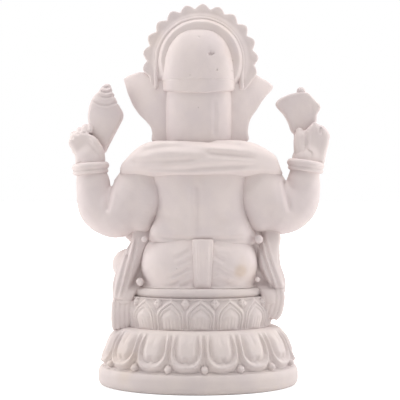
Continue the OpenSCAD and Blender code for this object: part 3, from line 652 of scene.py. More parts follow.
def make_dhoti():
    P = place("dhoti_hips", -0.4, 1, 48.2)
    clay = Clay(P(-37, -24, 38.2), P(36.5, 18.5, 58.5))
    clay.add(column([
        P(-0.4, 1, 35, 23.4, 17.4), P(-0.4, 1, 38.4, 23, 17), P(-0.4, 1, 39.4, 22, 16.1), P(-0.4, 1, 40.8, 21.9, 16), P(-0.4, 1, 44, 22.7, 16.6),
        P(-0.4, 1, 48.5, 22.9, 16.7), P(-0.4, 1, 52.5, 22.2, 16.2), P(-0.3, 1, 55, 21, 15.2),
        P(-0.2, 1, 57.6, 19, 13.6),
    ], square=2.7, edge=1.6))
    for side in (-1, 1):
        clay.add(egg(P(side * 11.4 - 0.6, 8.4, 47.4), (10.6, 9.2, 8.8)), 2.2)
    clay.add(tube([
        P(8, -3, 46, 7), P(17, -5, 46.8, 7), P(24, -6.6, 47, 6.6), P(28.6, -9, 46.6, 6), P(28, -13.6, 45.2, 5.6),
        P(22, -17, 44.4, 5), P(15, -18.6, 43.6, 4.4), P(10, -19.4, 42.8, 3.9),
    ], 40), 1.6)
    clay.add(tube([
        P(-8, -3, 46, 7), P(-16, -5, 46.8, 7), P(-22, -6.6, 47, 6.6), P(-26, -9, 46.6, 5.8),
        P(-25.4, -13.6, 46.2, 5.4), P(-20, -17, 46.4, 4.9), P(-13.6, -18.8, 46.6, 4.3), P(-9, -19.6, 46.6, 3.8),
    ], 40), 1.6)
    clay.add(egg(P(3, -14, 46.8), (9.5, 5, 4.6)), 2.0)
    clay.add(egg(P(8, -15, 48.6), (8, 4.6, 3.6)), 1.5)
    folds = []
    for start, reach, drop in ((53.6, 7.4, 4.2), (50.4, 6.4, 3.0), (47.6, 10, 5.2), (44.7, 8.4, 4.6), (42, 4.6, 2.6)):
        folds.append([P(2.4 + reach * t, 0, start - drop * t * (1.35 - 0.35 * t))[[0, 2]] for t in (0, 0.33, 0.66, 1)])
    for start, reach, drop in ((55.2, 7.2, 1.0), (51.6, 4.4, 2.4), (47.5, 11.6, 5.4), (45.2, 6, 3.4), (42.4, 7, 1.8)):
        folds.append([P(-5.9 - reach * t, 0, start - drop * t * (1.5 - 0.5 * t))[[0, 2]] for t in (0, 0.33, 0.66, 1)])
    clay.press(1, 1, P(0, 8, 0)[1], creases(folds, 0.8, 0.36, 0.7))
    middle, rim = P(-1.8, 0, 0)[0], P(0, 0, 38.6)[2]
    clay.press(1, 1, P(0, 6, 0)[1], lambda x, z: 1.0 * bump(x - middle, 4.6) + 0 * z)
    shins = []
    for side in (-1, 1):
        for k in range(4):
            y = -9 - 3 * k
            shins.append([P(side * (31 - 4.4 * k), 0, 52.4)[[0, 2]], P(side * (29.6 - 5 * k), 0, 46)[[0, 2]],
                          P(side * (25 - 5.2 * k), 0, 40.4)[[0, 2]]])
    clay.press(1, -1, P(0, -8, 0)[1], creases(shins, 0.7, 0.42, 0.5))
    clay.distance = np.maximum(clay.distance, (rim - clay.grid()[2]).astype(np.float32))
    sculpt("dhoti", clay, ["dhoti_hips", "left_leg", "right_leg"], "cast_drapery")

    P = place("dhoti_tail", -1.8, 15.9, 47.4)
    clay = Clay(P(-7, 11, 38), P(4, 19.5, 58))
    clay.add(column([
        P(-1.75, 14.6, 38.2, 3.2, 2.4), P(-1.7, 15.4, 41, 3.3, 2.4), P(-1.7, 16, 46, 3.5, 2.3),
        P(-1.7, 15.8, 51, 3.8, 2.3), P(-1.75, 14.8, 55, 4, 2.3), P(-1.75, 14, 57.4, 4.1, 2.3),
    ], square=4.5, edge=0.7))
    edge_lines = [
        [P(1.3, 0, 57.4)[[0, 2]], P(1.1, 0, 47)[[0, 2]], P(0.7, 0, 38.6)[[0, 2]]],
        [P(-4.7, 0, 57.4)[[0, 2]], P(-4.5, 0, 47)[[0, 2]], P(-4.1, 0, 38.6)[[0, 2]]],
    ]
    clay.press(1, 1, P(0, 15, 0)[1], creases(edge_lines, 0.42, 0.3, 0.6))
    inner_lines = [
        [P(x, 0, 57)[[0, 2]], P(x - 0.1, 0, 47)[[0, 2]], P(x - 0.2, 0, 40)[[0, 2]]] for x in (-0.6, -2.8)
    ]
    clay.press(1, 1, P(0, 15, 0)[1], creases(inner_lines, 0.4, 0.12, 0.3))
    sculpt("dhoti_tail_band", clay, ["dhoti_tail"], "cast_drapery")


def make_body():
    P = place("torso", 0, 1, 76.5)
    clay = Clay(P(-23, -24.5, 44), P(23, 16.5, 98))
    clay.add(column([
        P(-1.6, 1, 54.5, 21, 13.8), P(-1.7, 1, 58, 21.7, 14.2), P(-1.5, 1, 62, 20.6, 14), P(-1.3, 1, 66, 19.2, 13.9),
        P(-1.1, 1, 71, 18.7, 14), P(-0.8, 1, 77, 20, 14), P(0, 1, 84, 21, 14), P(0, 0.6, 90, 18.6, 12.4), P(0, 0.2, 96.6, 12.4, 9.6),
    ], square=2.5, edge=1.2))
    clay.add(egg(P(0, -8.4, 60.8), (18.3, 14.4, 15.6)), 3.5)
    for side in (-1, 1):
        clay.add(egg(P(side * 7.4, -8.4, 80.6), (7.4, 5.4, 5.6)), 3)
        clay.add(egg(P(side * 11.5, 10.4, 60), (7, 4.4, 4.6)), 3)
    clay.cut(ball(P(0, -23.4, 58.6), 1.5), 1.2)
    spine = [[P(0.3, 0, 80)[[0, 2]], P(0.2, 0, 70)[[0, 2]], P(0.3, 0, 56)[[0, 2]]]]
    clay.press(1, 1, P(0, 8, 0)[1], creases(spine, 1.1, 0.55, 0.25))
    waist = [[P(-22, 0, 58.2)[[0, 2]], P(-8, 0, 57.3)[[0, 2]], P(4, 0, 57.4)[[0, 2]], P(18, 0, 58.6)[[0, 2]]]]
    clay.press(1, 1, P(0, 8, 0)[1], creases(waist, 0.8, 0.5, 0.3))
    chest = [[P(s * 13, 0, 75.5)[[0, 2]], P(s * 7, 0, 74.4)[[0, 2]], P(s * 2, 0, 76.6)[[0, 2]]] for s in (-1, 1)]
    clay.press(1, -1, P(0, -6, 0)[1], creases(chest, 0.8, 0.5, 0.5))
    sculpt("body", clay, ["torso", "belly"], "cast_figure")


def make_shawl():
    P = place("shawl", 0, 1.2, 87.4)
    clay = Clay(P(-33.5, -16.5, 78.5), P(33.5, 19, 97))
    def shoulder(rows):
        return [(x, 1.2 - 0.0016 * x * x, (top + low) / 2, deep, (top - low) / 2) for x, top, low, deep in rows]

    left = ((30.6, 85.2, 82.6, 6), (29.6, 87, 81.8, 8.6), (27.3, 89.6, 81.6, 10.8), (24.6, 92.2, 81.4, 12.4),
            (21.2, 94.3, 81.2, 14), (16.6, 95.5, 80.9, 15.4), (9, 95.5, 80.6, 16.5), (0, 95.4, 80.4, 16.7))
    right = ((-9, 95.5, 80.6, 16.5), (-17.4, 95.5, 80.9, 15.4), (-22.6, 94.4, 81.2, 14), (-27, 92.2, 81.4, 12.4),
             (-30.2, 89.8, 81.6, 10.4), (-31.6, 87, 81.8, 8.6), (-32.4, 84.6, 82, 6.6), (-33.2, 83.4, 82.4, 4))
    stations = shoulder(left) + shoulder(right)
    clay.add(column([
        P(*row) for row in stations
    ], square=3.2, along=0, edge=0.5))
    x, y, z = clay.grid()
    opening = 12.5 - 0.5 * (z - P(0, 0, 80)[2]) - np.abs(x - P(0, 0, 0)[0])
    clay.distance = soft_max(clay.distance, np.minimum(opening, P(0, -4, 0)[1] - y).astype(np.float32), 1.4)
    folds = [
        [P(24, 0, 90.4)[[0, 2]], P(15, 0, 92.2)[[0, 2]], P(6, 0, 92.5)[[0, 2]], P(-5, 0, 91.8)[[0, 2]]],
        [P(28, 0, 87.4)[[0, 2]], P(20, 0, 86.9)[[0, 2]], P(10, 0, 86.9)[[0, 2]], P(-2, 0, 87.9)[[0, 2]]],
        [P(25, 0, 84.9)[[0, 2]], P(10, 0, 84.4)[[0, 2]], P(-6, 0, 85.1)[[0, 2]], P(-26, 0, 86.2)[[0, 2]]],
        [P(-2, 0, 90.3)[[0, 2]], P(-12, 0, 89.7)[[0, 2]], P(-24, 0, 88.4)[[0, 2]]],
        [P(8, 0, 94.3)[[0, 2]], P(-6, 0, 94)[[0, 2]], P(-20, 0, 92.6)[[0, 2]]],
    ]
    clay.press(1, 1, P(0, 4, 0)[1], creases(folds, 0.95, 0.5, 0.7))
    hem = [[P(30, 0, 83.4)[[0, 2]], P(15, 0, 82.2)[[0, 2]], P(0, 0, 81.8)[[0, 2]], P(-15, 0, 82.4)[[0, 2]],
            P(-30, 0, 83.4)[[0, 2]]]]
    clay.press(1, 1, P(0, 4, 0)[1], creases(hem, 0.45, 0.22, 0.3))
    front = [
        [P(s * x, 0, 94)[[0, 2]], P(s * (x + 1.5), 0, 88)[[0, 2]], P(s * (x + 2), 0, 81)[[0, 2]]]
        for s in (-1, 1) for x in (14, 18, 22, 26)
    ]
    clay.press(1, -1, P(0, -6, 0)[1], creases(front, 0.8, 0.45, 0.6))
    sculpt("shawl_cloth", clay, ["shawl"], "cast_drapery")

    outer_edges = {
        "left_shawl_end": ((33.4, 31.8), (33.6, 35), (32.6, 41), (31.2, 46), (28.9, 51), (26.3, 57), (25.6, 64)),
        "right_shawl_end": ((34.2, 36.2), (34.3, 39), (33.2, 42.6), (31.6, 48), (31.7, 53.4), (32.4, 58), (31, 64)),
    }
    for side, node in ((1, "left_shawl_end"), (-1, "right_shawl_end")):
        P = place(node, side * 27.7, 4.4, 46.3)
        clay = Clay(P(side * 26 - 12, -6, 28), P(side * 26 + 12, 13, 72))
        hem_z = outer_edges[node][0][1]
        stations = []
        for (outer, z), half, y, deep in zip(
            outer_edges[node], (2.7, 3, 3.8, 4.2, 4, 3.6, 3.4), (3, 3.4, 4, 4, 3.6, 2.6, 1), (6, 6.4, 6.4, 6, 5.4, 4.6, 3.8),
        ):
            stations.append(P(side * (outer - half), y, z, half, deep))
        clay.add(column(stations, square=3.0, edge=0.8))
        clay.add(column([
            P(side * 28.2, 4, 32, 3.2, 6), P(side * 27, 4, 37, 4, 6), P(side * 23.8, 2.6, 41, 4.6, 2.8),
            P(side * 22.6, 3.4, 47, 4.6, 2.4), P(side * 21.4, 3.6, 54, 4, 2.4), P(side * 20.4, 3, 63, 3.6, 2.4),
            P(side * 19.6, 2.4, 71, 3.4, 2.4),
        ], square=3.0, edge=0.8), 1.5)
        long_folds = [
            [P(0, y0, 60)[[1, 2]], P(0, y0 + 1.2 * k, 50)[[1, 2]], P(0, y0 + 2 * k, hem_z + 1.5)[[1, 2]]]
            for k, y0 in ((-1.6, 1), (-0.7, 2), (0.2, 3), (1.1, 4), (2, 5))
        ]
        clay.press(0, side, P(side * 28, 0, 0)[0], creases(long_folds, 0.6, 0.5, 0.7))
        back_folds = [
            [P(side * (23.4 + k), 0, 59)[[0, 2]], P(side * (26 + 1.2 * k), 0, 48)[[0, 2]],
             P(side * (29.8 + 1.2 * k), 0, hem_z + 1)[[0, 2]]] for k in (0, 1.8)
        ]
        clay.press(1, 1, P(0, 5, 0)[1], creases(back_folds, 0.5, 0.5, 0.6))
        band = P(0, 0, hem_z + 2.0)[2]
        clay.press(0, side, P(side * 30, 0, 0)[0], lambda y, z: 0.35 * bump(z - band, 0.3) + 0 * y)
        clay.press(1, 1, P(0, 6, 0)[1], lambda x, z: 0.35 * bump(z - band, 0.3) + 0 * x)
        sculpt(node + "_cloth", clay, [node], "cast_drapery")

    P = place("shawl_tassels", 0, 3.2, 28.1)
    clay = Clay(P(-35, -4, 21), P(35, 12, 38))
    for side, hem_z, tip_z, sway in ((1, 31.8, 21.6, 0.2), (-1, 36.2, 25.6, -1.8)):
        for x in (25.4, 27.2, 29, 30.8, 32.4):
            for k in range(6):
                y = -1.8 + 2.1 * k
                inward = 3.2 + 0.8 * (y - 3.2)
                tip = tip_z + 0.1 * (32.4 - x) + 0.4 * (k % 2)
                clay.add(tube([
                    P(side * x, y, hem_z + 0.8, 1.0), P(side * (x + 0.1), y, hem_z - 2.4, 1.3),
                    P(side * (x + 0.5 * sway), inward, tip + 2.6, 1.3), P(side * (x + sway), inward, tip + 0.7, 0.9),
                ], 12, 0.0, 0), 0.35)
    sculpt("tassel_fringe", clay, ["shawl_tassels"], "cast_drapery")


# ---- arms ----


def make_rear_arm(side, word, drop, fall, apart):
    P = place(word + "_rear_upper_arm", side * 30.3, 2.2, 76.6)
    clay = Clay(P(side * 31 - 20, -10, 56), P(side * 31 + 20, 13, 93))
    clay.add(tube([
        P(side * 21.6, 2, 86.4 - fall, 8), P(side * (25.2 - fall / 4), 2.2, 79.4 - fall / 2, 9.3 - fall / 8),
        P(side * 27.4, 2.2, 72.4 + drop, 9.6),
        P(side * 31, 1.8, 67.7 + drop, 9.4), P(side * 35.2, 1.2, 67.4 + drop, 8.7), P(side * 38, 1, 69 + drop, 8.2),
    ], 24))
    clay.add(tube([
        P(side * 37, 1, 68.6 + drop, 8.2), P(side * 39.4, 1, 70.8 + drop, 8), P(side * 40.9, 1.2, 75, 7.1),
        P(side * 41.4, 1.4, 79, 6.6), P(side * 42, 1.5, 83, 5.8), P(side * 42.3, 1.5, 88.6, 5.3),
    ], 20), 1.0)
    clay.add(tube([
        P(side * (20 + apart), 5.6, 82, 4.6), P(side * (18.8 + apart), 6.6, 74, 4.9), P(side * (21 + apart), 5.4, 64, 4),
    ], 14), 3.5)
    crease = [[P(side * 33.3, 0, 80.6)[[0, 2]], P(side * 34.2, 0, 75)[[0, 2]], P(side * 35.6, 0, 67)[[0, 2]]]]
    clay.press(1, 1, P(0, 2, 0)[1], creases(crease, 0.9, 0.8, 0.2))
    clay.press(1, -1, P(0, 2, 0)[1], creases(crease, 0.9, 0.8, 0.2))
    sculpt(word + "_rear_arm", clay, [word + "_rear_upper_arm", word + "_rear_forearm"], "cast_figure")


def make_rear_bangles(side, word, tilt, z):
    P = place(word + "_rear_bangles", side * 42.4, 1.5, z)
    clay = Clay(P(side * 42.4 - 9, -8, z - 5), P(side * 42.4 + 9, 11, z + 5))
    axes = turned(tilt)
    clay.add(ring(P(side * 42.4, 1.5, z + 0.9), axes, 5.9, 1.5, 1.0))
    clay.add(ring(P(side * 42.4, 1.5, z - 1.2), axes, 5.9, 1.15, 0.8), 0.3)
    sculpt(word + "_rear_bangle_pair", clay, [word + "_rear_bangles"], "cast_figure")


def make_left_rear_hand():
    P = place("left_rear_hand", 45.2, 1.4, 94.1)
    clay = Clay(P(35, -8, 85), P(53, 9, 104))
    clay.add(tube([P(42.4, 1.5, 86.4, 5), P(43, 1.5, 89.5, 5.2)], 6))
    palm = [P(x, 0, z)[[0, 2]] for x, z in (
        (37.6, 86), (37.4, 90), (39.2, 94.4), (42.6, 98.4), (45, 99.4), (48, 99), (50.2, 97.4), (51.2, 94.8),
        (49.6, 91.8), (48.2, 89), (47.4, 86),
    )]
    clay.add(plate(palm, P(0, 1.5, 0)[1], 3.6, 3.2), 1.0)
    for k in range(4):
        x = 49.4 - 2.25 * k
        top = (98.2, 99.8, 101, 101.9)[k]
        clay.add(tube([
            P(x - 0.8, -2.4, 92, 1.7), P(x, -4, top - 3, 1.5), P(x - 0.1, -2.2, top, 1.35), P(x - 0.2, 0.9, top - 0.2, 1.3),
            P(x - 0.2, 2.6, top - 2.2, 1.2),
        ], 16), 0.5)
    clay.add(tube([P(42.6, 4, 97.2, 1.2), P(40.6, 4.6, 95, 1.6), P(38.8, 4, 91.8, 1.8), P(38.4, 3, 88.6, 1.8)], 14), 0.8)
    nails = [P(49.6 - 2.35 * k, 0, (96.6, 98.2, 98.6, 98)[k]) for k in range(4)]
    knuckles = [[nail[[0, 2]] - (0.9, 0), nail[[0, 2]] + (0.9, 0.1)] for nail in nails]
    clay.press(1, 1, P(0, 1, 0)[1], creases(knuckles, 0.4, 0.3, 0.2))
    sculpt("left_rear_hand_cupped", clay, ["left_rear_hand"], "cast_figure")

    P = place("conch", 36.5, -2.2, 104.6)
    clay = Clay(P(28, -9, 89), P(45, 5, 118.6))
    outline = [P(x, 0, z)[[0, 2]] for x, z in (
        (38.6, 90.6), (40.8, 94), (42.7, 98.6), (43.5, 103.4), (43.5, 107), (43, 110), (41.6, 113.2), (39.6, 115.2),
        (38.3, 117.1), (36.6, 118.5), (35, 118.2), (34.2, 115.8), (32.4, 111.4), (29.8, 106.2), (32.6, 100.2), (35.3, 95.2),
        (37.4, 90.8),
    )]
    mid_x, mid_z = float(P(37, 0, 0)[0]), float(P(0, 0, 104.6)[2])

    def body(x, z):
        tall = np.clip(1 - ((z - mid_z) / 14.7) ** 2, 0.02, 1)
        wide = np.clip(1 - ((x - mid_x) / (8.5 * np.sqrt(tall))) ** 2, 0.02, 1)
        return 5.2 * np.sqrt(tall * wide) + 0.35

    clay.add(plate(outline, P(0, -2, 0)[1], body, 1.1, 5))
    clay.cut(tube([P(34.6, -8, 107.2, 0.8), P(35, -8.2, 103, 1.6), P(36, -7.6, 97.4, 1.2), P(37.6, -6, 92.6, 0.6)], 16), 0.7)
    clay.add(tube([P(33.2, -5, 108.6, 0.7), P(32.6, -5.6, 104, 1.0), P(34.8, -5, 97.8, 0.8), P(37.2, -3.6, 92.4, 0.6)], 16), 0.8)
    turns = [
        [P(36.3 + wide, 0, z + rise)[[0, 2]], P(36.3, 0, z - rise)[[0, 2]], P(36.3 - wide, 0, z + rise)[[0, 2]]]
        for z, wide, rise in ((116.9, 1.6, 0.3), (115.3, 2.6, 0.4), (113.4, 4, 0.6), (110.6, 5.8, 1.0))
    ]
    for sign in (1, -1):
        clay.press(1, sign, P(0, -2, 0)[1], creases(turns, 0.45, 0.42, 0.5))
    sculpt("conch_shell", clay, ["conch"], "cast_figure")


def make_right_rear_hand():
    P = place("right_rear_hand", -45.2, 1.4, 94.1)
    clay = Clay(P(-53.5, -8, 85), P(-35.5, 9, 105.5))
    clay.add(tube([P(-42.6, 1.5, 86.4, 5), P(-43.4, 1.5, 89.5, 5.2)], 6))
    palm = [P(x, 0, z)[[0, 2]] for x, z in (
        (-38.2, 86), (-38, 91), (-38, 97), (-39.4, 99.2), (-42, 99.8), (-44.2, 101.8), (-46, 103.4), (-47.2, 102.4),
        (-50, 101), (-51.8, 98.4), (-51.7, 95), (-50.8, 91.6), (-50, 88.6), (-48.4, 86),
    )]
    clay.add(plate(palm, P(0, 1.6, 0)[1], 3.4, 3.0), 1.0)
    for k in range(4):
        z = 90.6 + 2.7 * k
        clay.add(tube([
            P(-49.4 + 0.3 * k, -0.6, z + 1, 1.6), P(-47.4, -3.8, z + 0.6, 1.5), P(-44, -4.8, z + 0.2, 1.35),
            P(-40.6, -4.8, z, 1.25), P(-39.2, -3.6, z, 1.1),
        ], 16), 0.4)
    clay.add(tube([P(-39.8, 2.4, 88.4, 2), P(-39.7, 3.2, 92, 2), P(-39.6, 3.2, 96, 1.9), P(-40, 2.6, 99.4, 1.4)], 12), 0.7)
    clay.cut(ball(P(-43, 6.2, 90.6), 1.2), 1.0)
    lines = [[P(-42.2, 0, 100)[[0, 2]], P(-42.4, 0, 95)[[0, 2]], P(-42.2, 0, 89)[[0, 2]]],
             [P(-48, 0, 101)[[0, 2]], P(-48, 0, 98)[[0, 2]]]]
    clay.press(1, 1, P(0, 1, 0)[1], creases(lines, 0.55, 0.5, 0.3))
    sculpt("right_rear_hand_grip", clay, ["right_rear_hand"], "cast_figure")

    P = place("axe_shaft", -40.3, -1.6, 103.1)
    clay = Clay(P(-43.5, -4.6, 86), P(-37, 1.6, 118.4))
    clay.add(tube([P(-39.8, -1.6, 87.4, 1.7), P(-39.8, -1.6, 98, 1.75), P(-40.2, -1.6, 108, 1.8), P(-40.7, -1.6, 114.4, 1.5)], 12))
    clay.add(ball(P(-40.9, -1.6, 115.6), 1.75), 0.5)
    clay.add(ring(P(-40.7, -1.6, 113.6), np.eye(3), 1.4, 0.5), 0.3)
    sculpt("axe_handle", clay, ["axe_shaft"], "cast_figure")

    P = place("axe_head", -39.4, -1.7, 107.6)
    clay = Clay(P(-49, -5, 98), P(-29.6, 1.6, 116.5))
    outline = [P(x, 0, z)[[0, 2]] for x, z in (
        (-39.4, 115), (-36, 114.2), (-32.4, 112.6), (-30.7, 110.4), (-32.2, 108), (-34, 106), (-35.8, 102.8), (-37.4, 99),
        (-41, 98.6), (-44.8, 100.6), (-46.9, 102.6), (-47.1, 106), (-48.4, 108.4), (-48.2, 110.2), (-46, 112.4),
        (-43.4, 115),
    )]
    middle, blade_x = P(0, -1.7, 0)[1], P(-36, 0, 0)[0]
    clay.add(plate(outline, middle, lambda x, z: 2.3 - 0.9 * ease((x - blade_x) / 5) + 0 * z, 1.3))
    clay.cut(tube([P(-44.9, 3, 110, 0.6), P(-45, 3, 106, 0.55)], 6), 0.3)
    clay.cut(tube([P(-44.9, 1, 110, 0.55), P(-45, 1, 106, 0.5)], 6), 0.3)
    sculpt("axe_blade", clay, ["axe_head"], "cast_figure")


def fingers(clay, roots, tips, bend, thick):
    """Four fingers from roots to tips, each bent out by the given step at its middle joint."""
    for root, tip in zip(roots, tips):
        middle = (root + tip) / 2 + bend
        clay.add(tube([
            np.append(root, thick), np.append((root + middle) / 2 + 0.3 * np.array(bend), 0.95 * thick),
            np.append(middle, 0.95 * thick), np.append((middle + tip) / 2, 0.85 * thick), np.append(tip, 0.7 * thick),
        ], 16), 0.35)


def make_front_arms():
    P = place("left_front_arm", 25.8, -11.8, 71)
    clay = Clay(P(15, -25, 53.5), P(36, 2, 88))
    clay.add(tube([
        P(20, -3, 84, 5.6), P(23, -4.4, 79, 6), P(26, -5.4, 73, 6), P(27.6, -6.4, 68, 5.7), P(27.6, -8.6, 64.4, 5.3),
        P(27.4, -12.6, 61.8, 4.9), P(26.4, -17.4, 60.6, 4.2), P(24.6, -21, 60.2, 3.2),
    ], 40))
    sculpt("left_front_arm_bent", clay, ["left_front_arm"], "cast_figure")
    P = place("right_front_arm", -26.5, -11.5, 70.4)
    clay = Clay(P(-37, -24, 52.5), P(-16, 2, 88))
    clay.add(tube([
        P(-20, -3, 84, 5.6), P(-23, -4.4, 79, 6), P(-26, -5.4, 73, 6), P(-28, -6.4, 68, 5.7), P(-28.6, -8, 64, 5.3),
        P(-29.2, -12, 61.6, 4.9), P(-29, -16.4, 62.6, 4.2), P(-28.5, -19.2, 66.2, 3.3),
    ], 40))
    sculpt("right_front_arm_raised", clay, ["right_front_arm"], "cast_figure")

    P = place("front_bangles", -1.4, -18.2, 60.8)
    clay = Clay(P(-35, -25, 53), P(33, -12, 69))
    for centre, toward in ((P(26.2, -18.4, 59.7), (-0.42, -0.9, 0.12)), (P(-29, -17.8, 63.6), (0.14, -0.45, 0.9))):
        third = np.array(toward) / np.linalg.norm(toward)
        first = np.cross((1.0, 0.2, 0.1), third)
        first /= np.linalg.norm(first)
        axes = np.column_stack([first, np.cross(third, first), third])
        clay.add(ring(centre, axes, 4.0, 0.85))
        for k in range(18):
            a = tau * k / 18
            clay.add(ball(centre + 4.5 * (cos(a) * axes[:, 0] + sin(a) * axes[:, 1]), 0.72), 0.2)
    sculpt("front_bangle_beads", clay, ["front_bangles"], "cast_figure")

    P = place("left_front_hand", 22.1, -24.9, 60.2)
    clay = Clay(P(12, -30, 55.8), P(29, -17.5, 67.5))
    clay.add(tube([P(25, -20.4, 60.2, 3.1), P(23.6, -22.4, 60, 3.1), P(21.8, -23.8, 60, 2.8)], 8))
    clay.add(egg(P(20.4, -24.2, 60), (5.4, 4.4, 1.9)), 1.2)
    roots = [P(18.6 - 0.2 * k, -27.2 + 1.7 * k, 60.2) for k in range(4)]
    tips = [P(14.9 - 0.3 * k, -27.4 + 1.9 * k, 63.6) for k in range(4)]
    fingers(clay, roots, tips, (-1.4, 0, -0.8), 1.1)
    clay.add(tube([P(24.4, -23, 61, 1.6), P(24.9, -25, 62.6, 1.4), P(24.6, -26, 65, 1.1)], 10), 0.6)
    sculpt("left_front_hand_palm", clay, ["left_front_hand"], "cast_figure")

    P = place("right_front_hand", -28.4, -20.3, 73.7)
    clay = Clay(P(-35, -25, 63), P(-21.5, -15.5, 83.5))
    clay.add(tube([P(-28.5, -18.8, 65.4, 3.1), P(-28.4, -19.9, 68.6, 3)], 6))
    clay.add(egg(P(-28.4, -20.2, 71.6), (4.9, 2.1, 4.8)), 1.2)
    roots = [P(-32.2 + 2.45 * k, -20.4, 75 + (0, 0.6, 0.7, 0.2)[k]) for k in range(4)]
    tips = [P(-32.6 + 2.6 * k, -20.0, 79.4 + (0, 1.9, 2.3, 1.2)[k]) for k in range(4)]
    fingers(clay, roots, tips, (0, -0.35, 0), 1.22)
    clay.add(tube([P(-25.2, -20.8, 69.6, 1.7), P(-23.6, -21.6, 72, 1.4), P(-23.3, -21.8, 74.6, 1.05)], 10), 0.7)
    palm_lines = [[P(-31.8, 0, 73.6)[[0, 2]], P(-28, 0, 74.4)[[0, 2]], P(-25.4, 0, 73.6)[[0, 2]]],
                  [P(-31.6, 0, 71)[[0, 2]], P(-28.4, 0, 71.6)[[0, 2]], P(-26, 0, 69.4)[[0, 2]]]]
    clay.press(1, -1, P(0, -21, 0)[1], creases(palm_lines, 0.35, 0.3, 0.3))
    sculpt("right_front_hand_palm", clay, ["right_front_hand"], "cast_figure")

    P = place("sweet_bowl", 19.6, -24.6, 65)
    clay = Clay(P(13.5, -30, 60.6), P(25.7, -18.5, 70.5))
    clay.add(column([
        P(19.6, -24.6, 61.6, 2.4, 2.4), P(19.6, -24.6, 62.4, 3.6, 3.6), P(19.6, -24.6, 63.6, 4.5, 4.5),
        P(19.6, -24.6, 64.8, 4.8, 4.8),
    ], square=2, edge=0.6))
    clay.add(ring(P(19.6, -24.6, 64.7), np.eye(3), 4.35, 0.55), 0.3)
    for count, reach, z in ((7, 2.9, 65.6), (4, 1.5, 67.2), (1, 0, 68.2)):
        for k in range(count):
            a = tau * k / count + 0.3 * z
            clay.add(ball(P(19.6 + reach * cos(a), -24.6 + reach * sin(a), z), 1.45), 0.15)
    sculpt("bowl_of_sweets", clay, ["sweet_bowl"], "cast_figure")


# ---- feet and ornaments ----


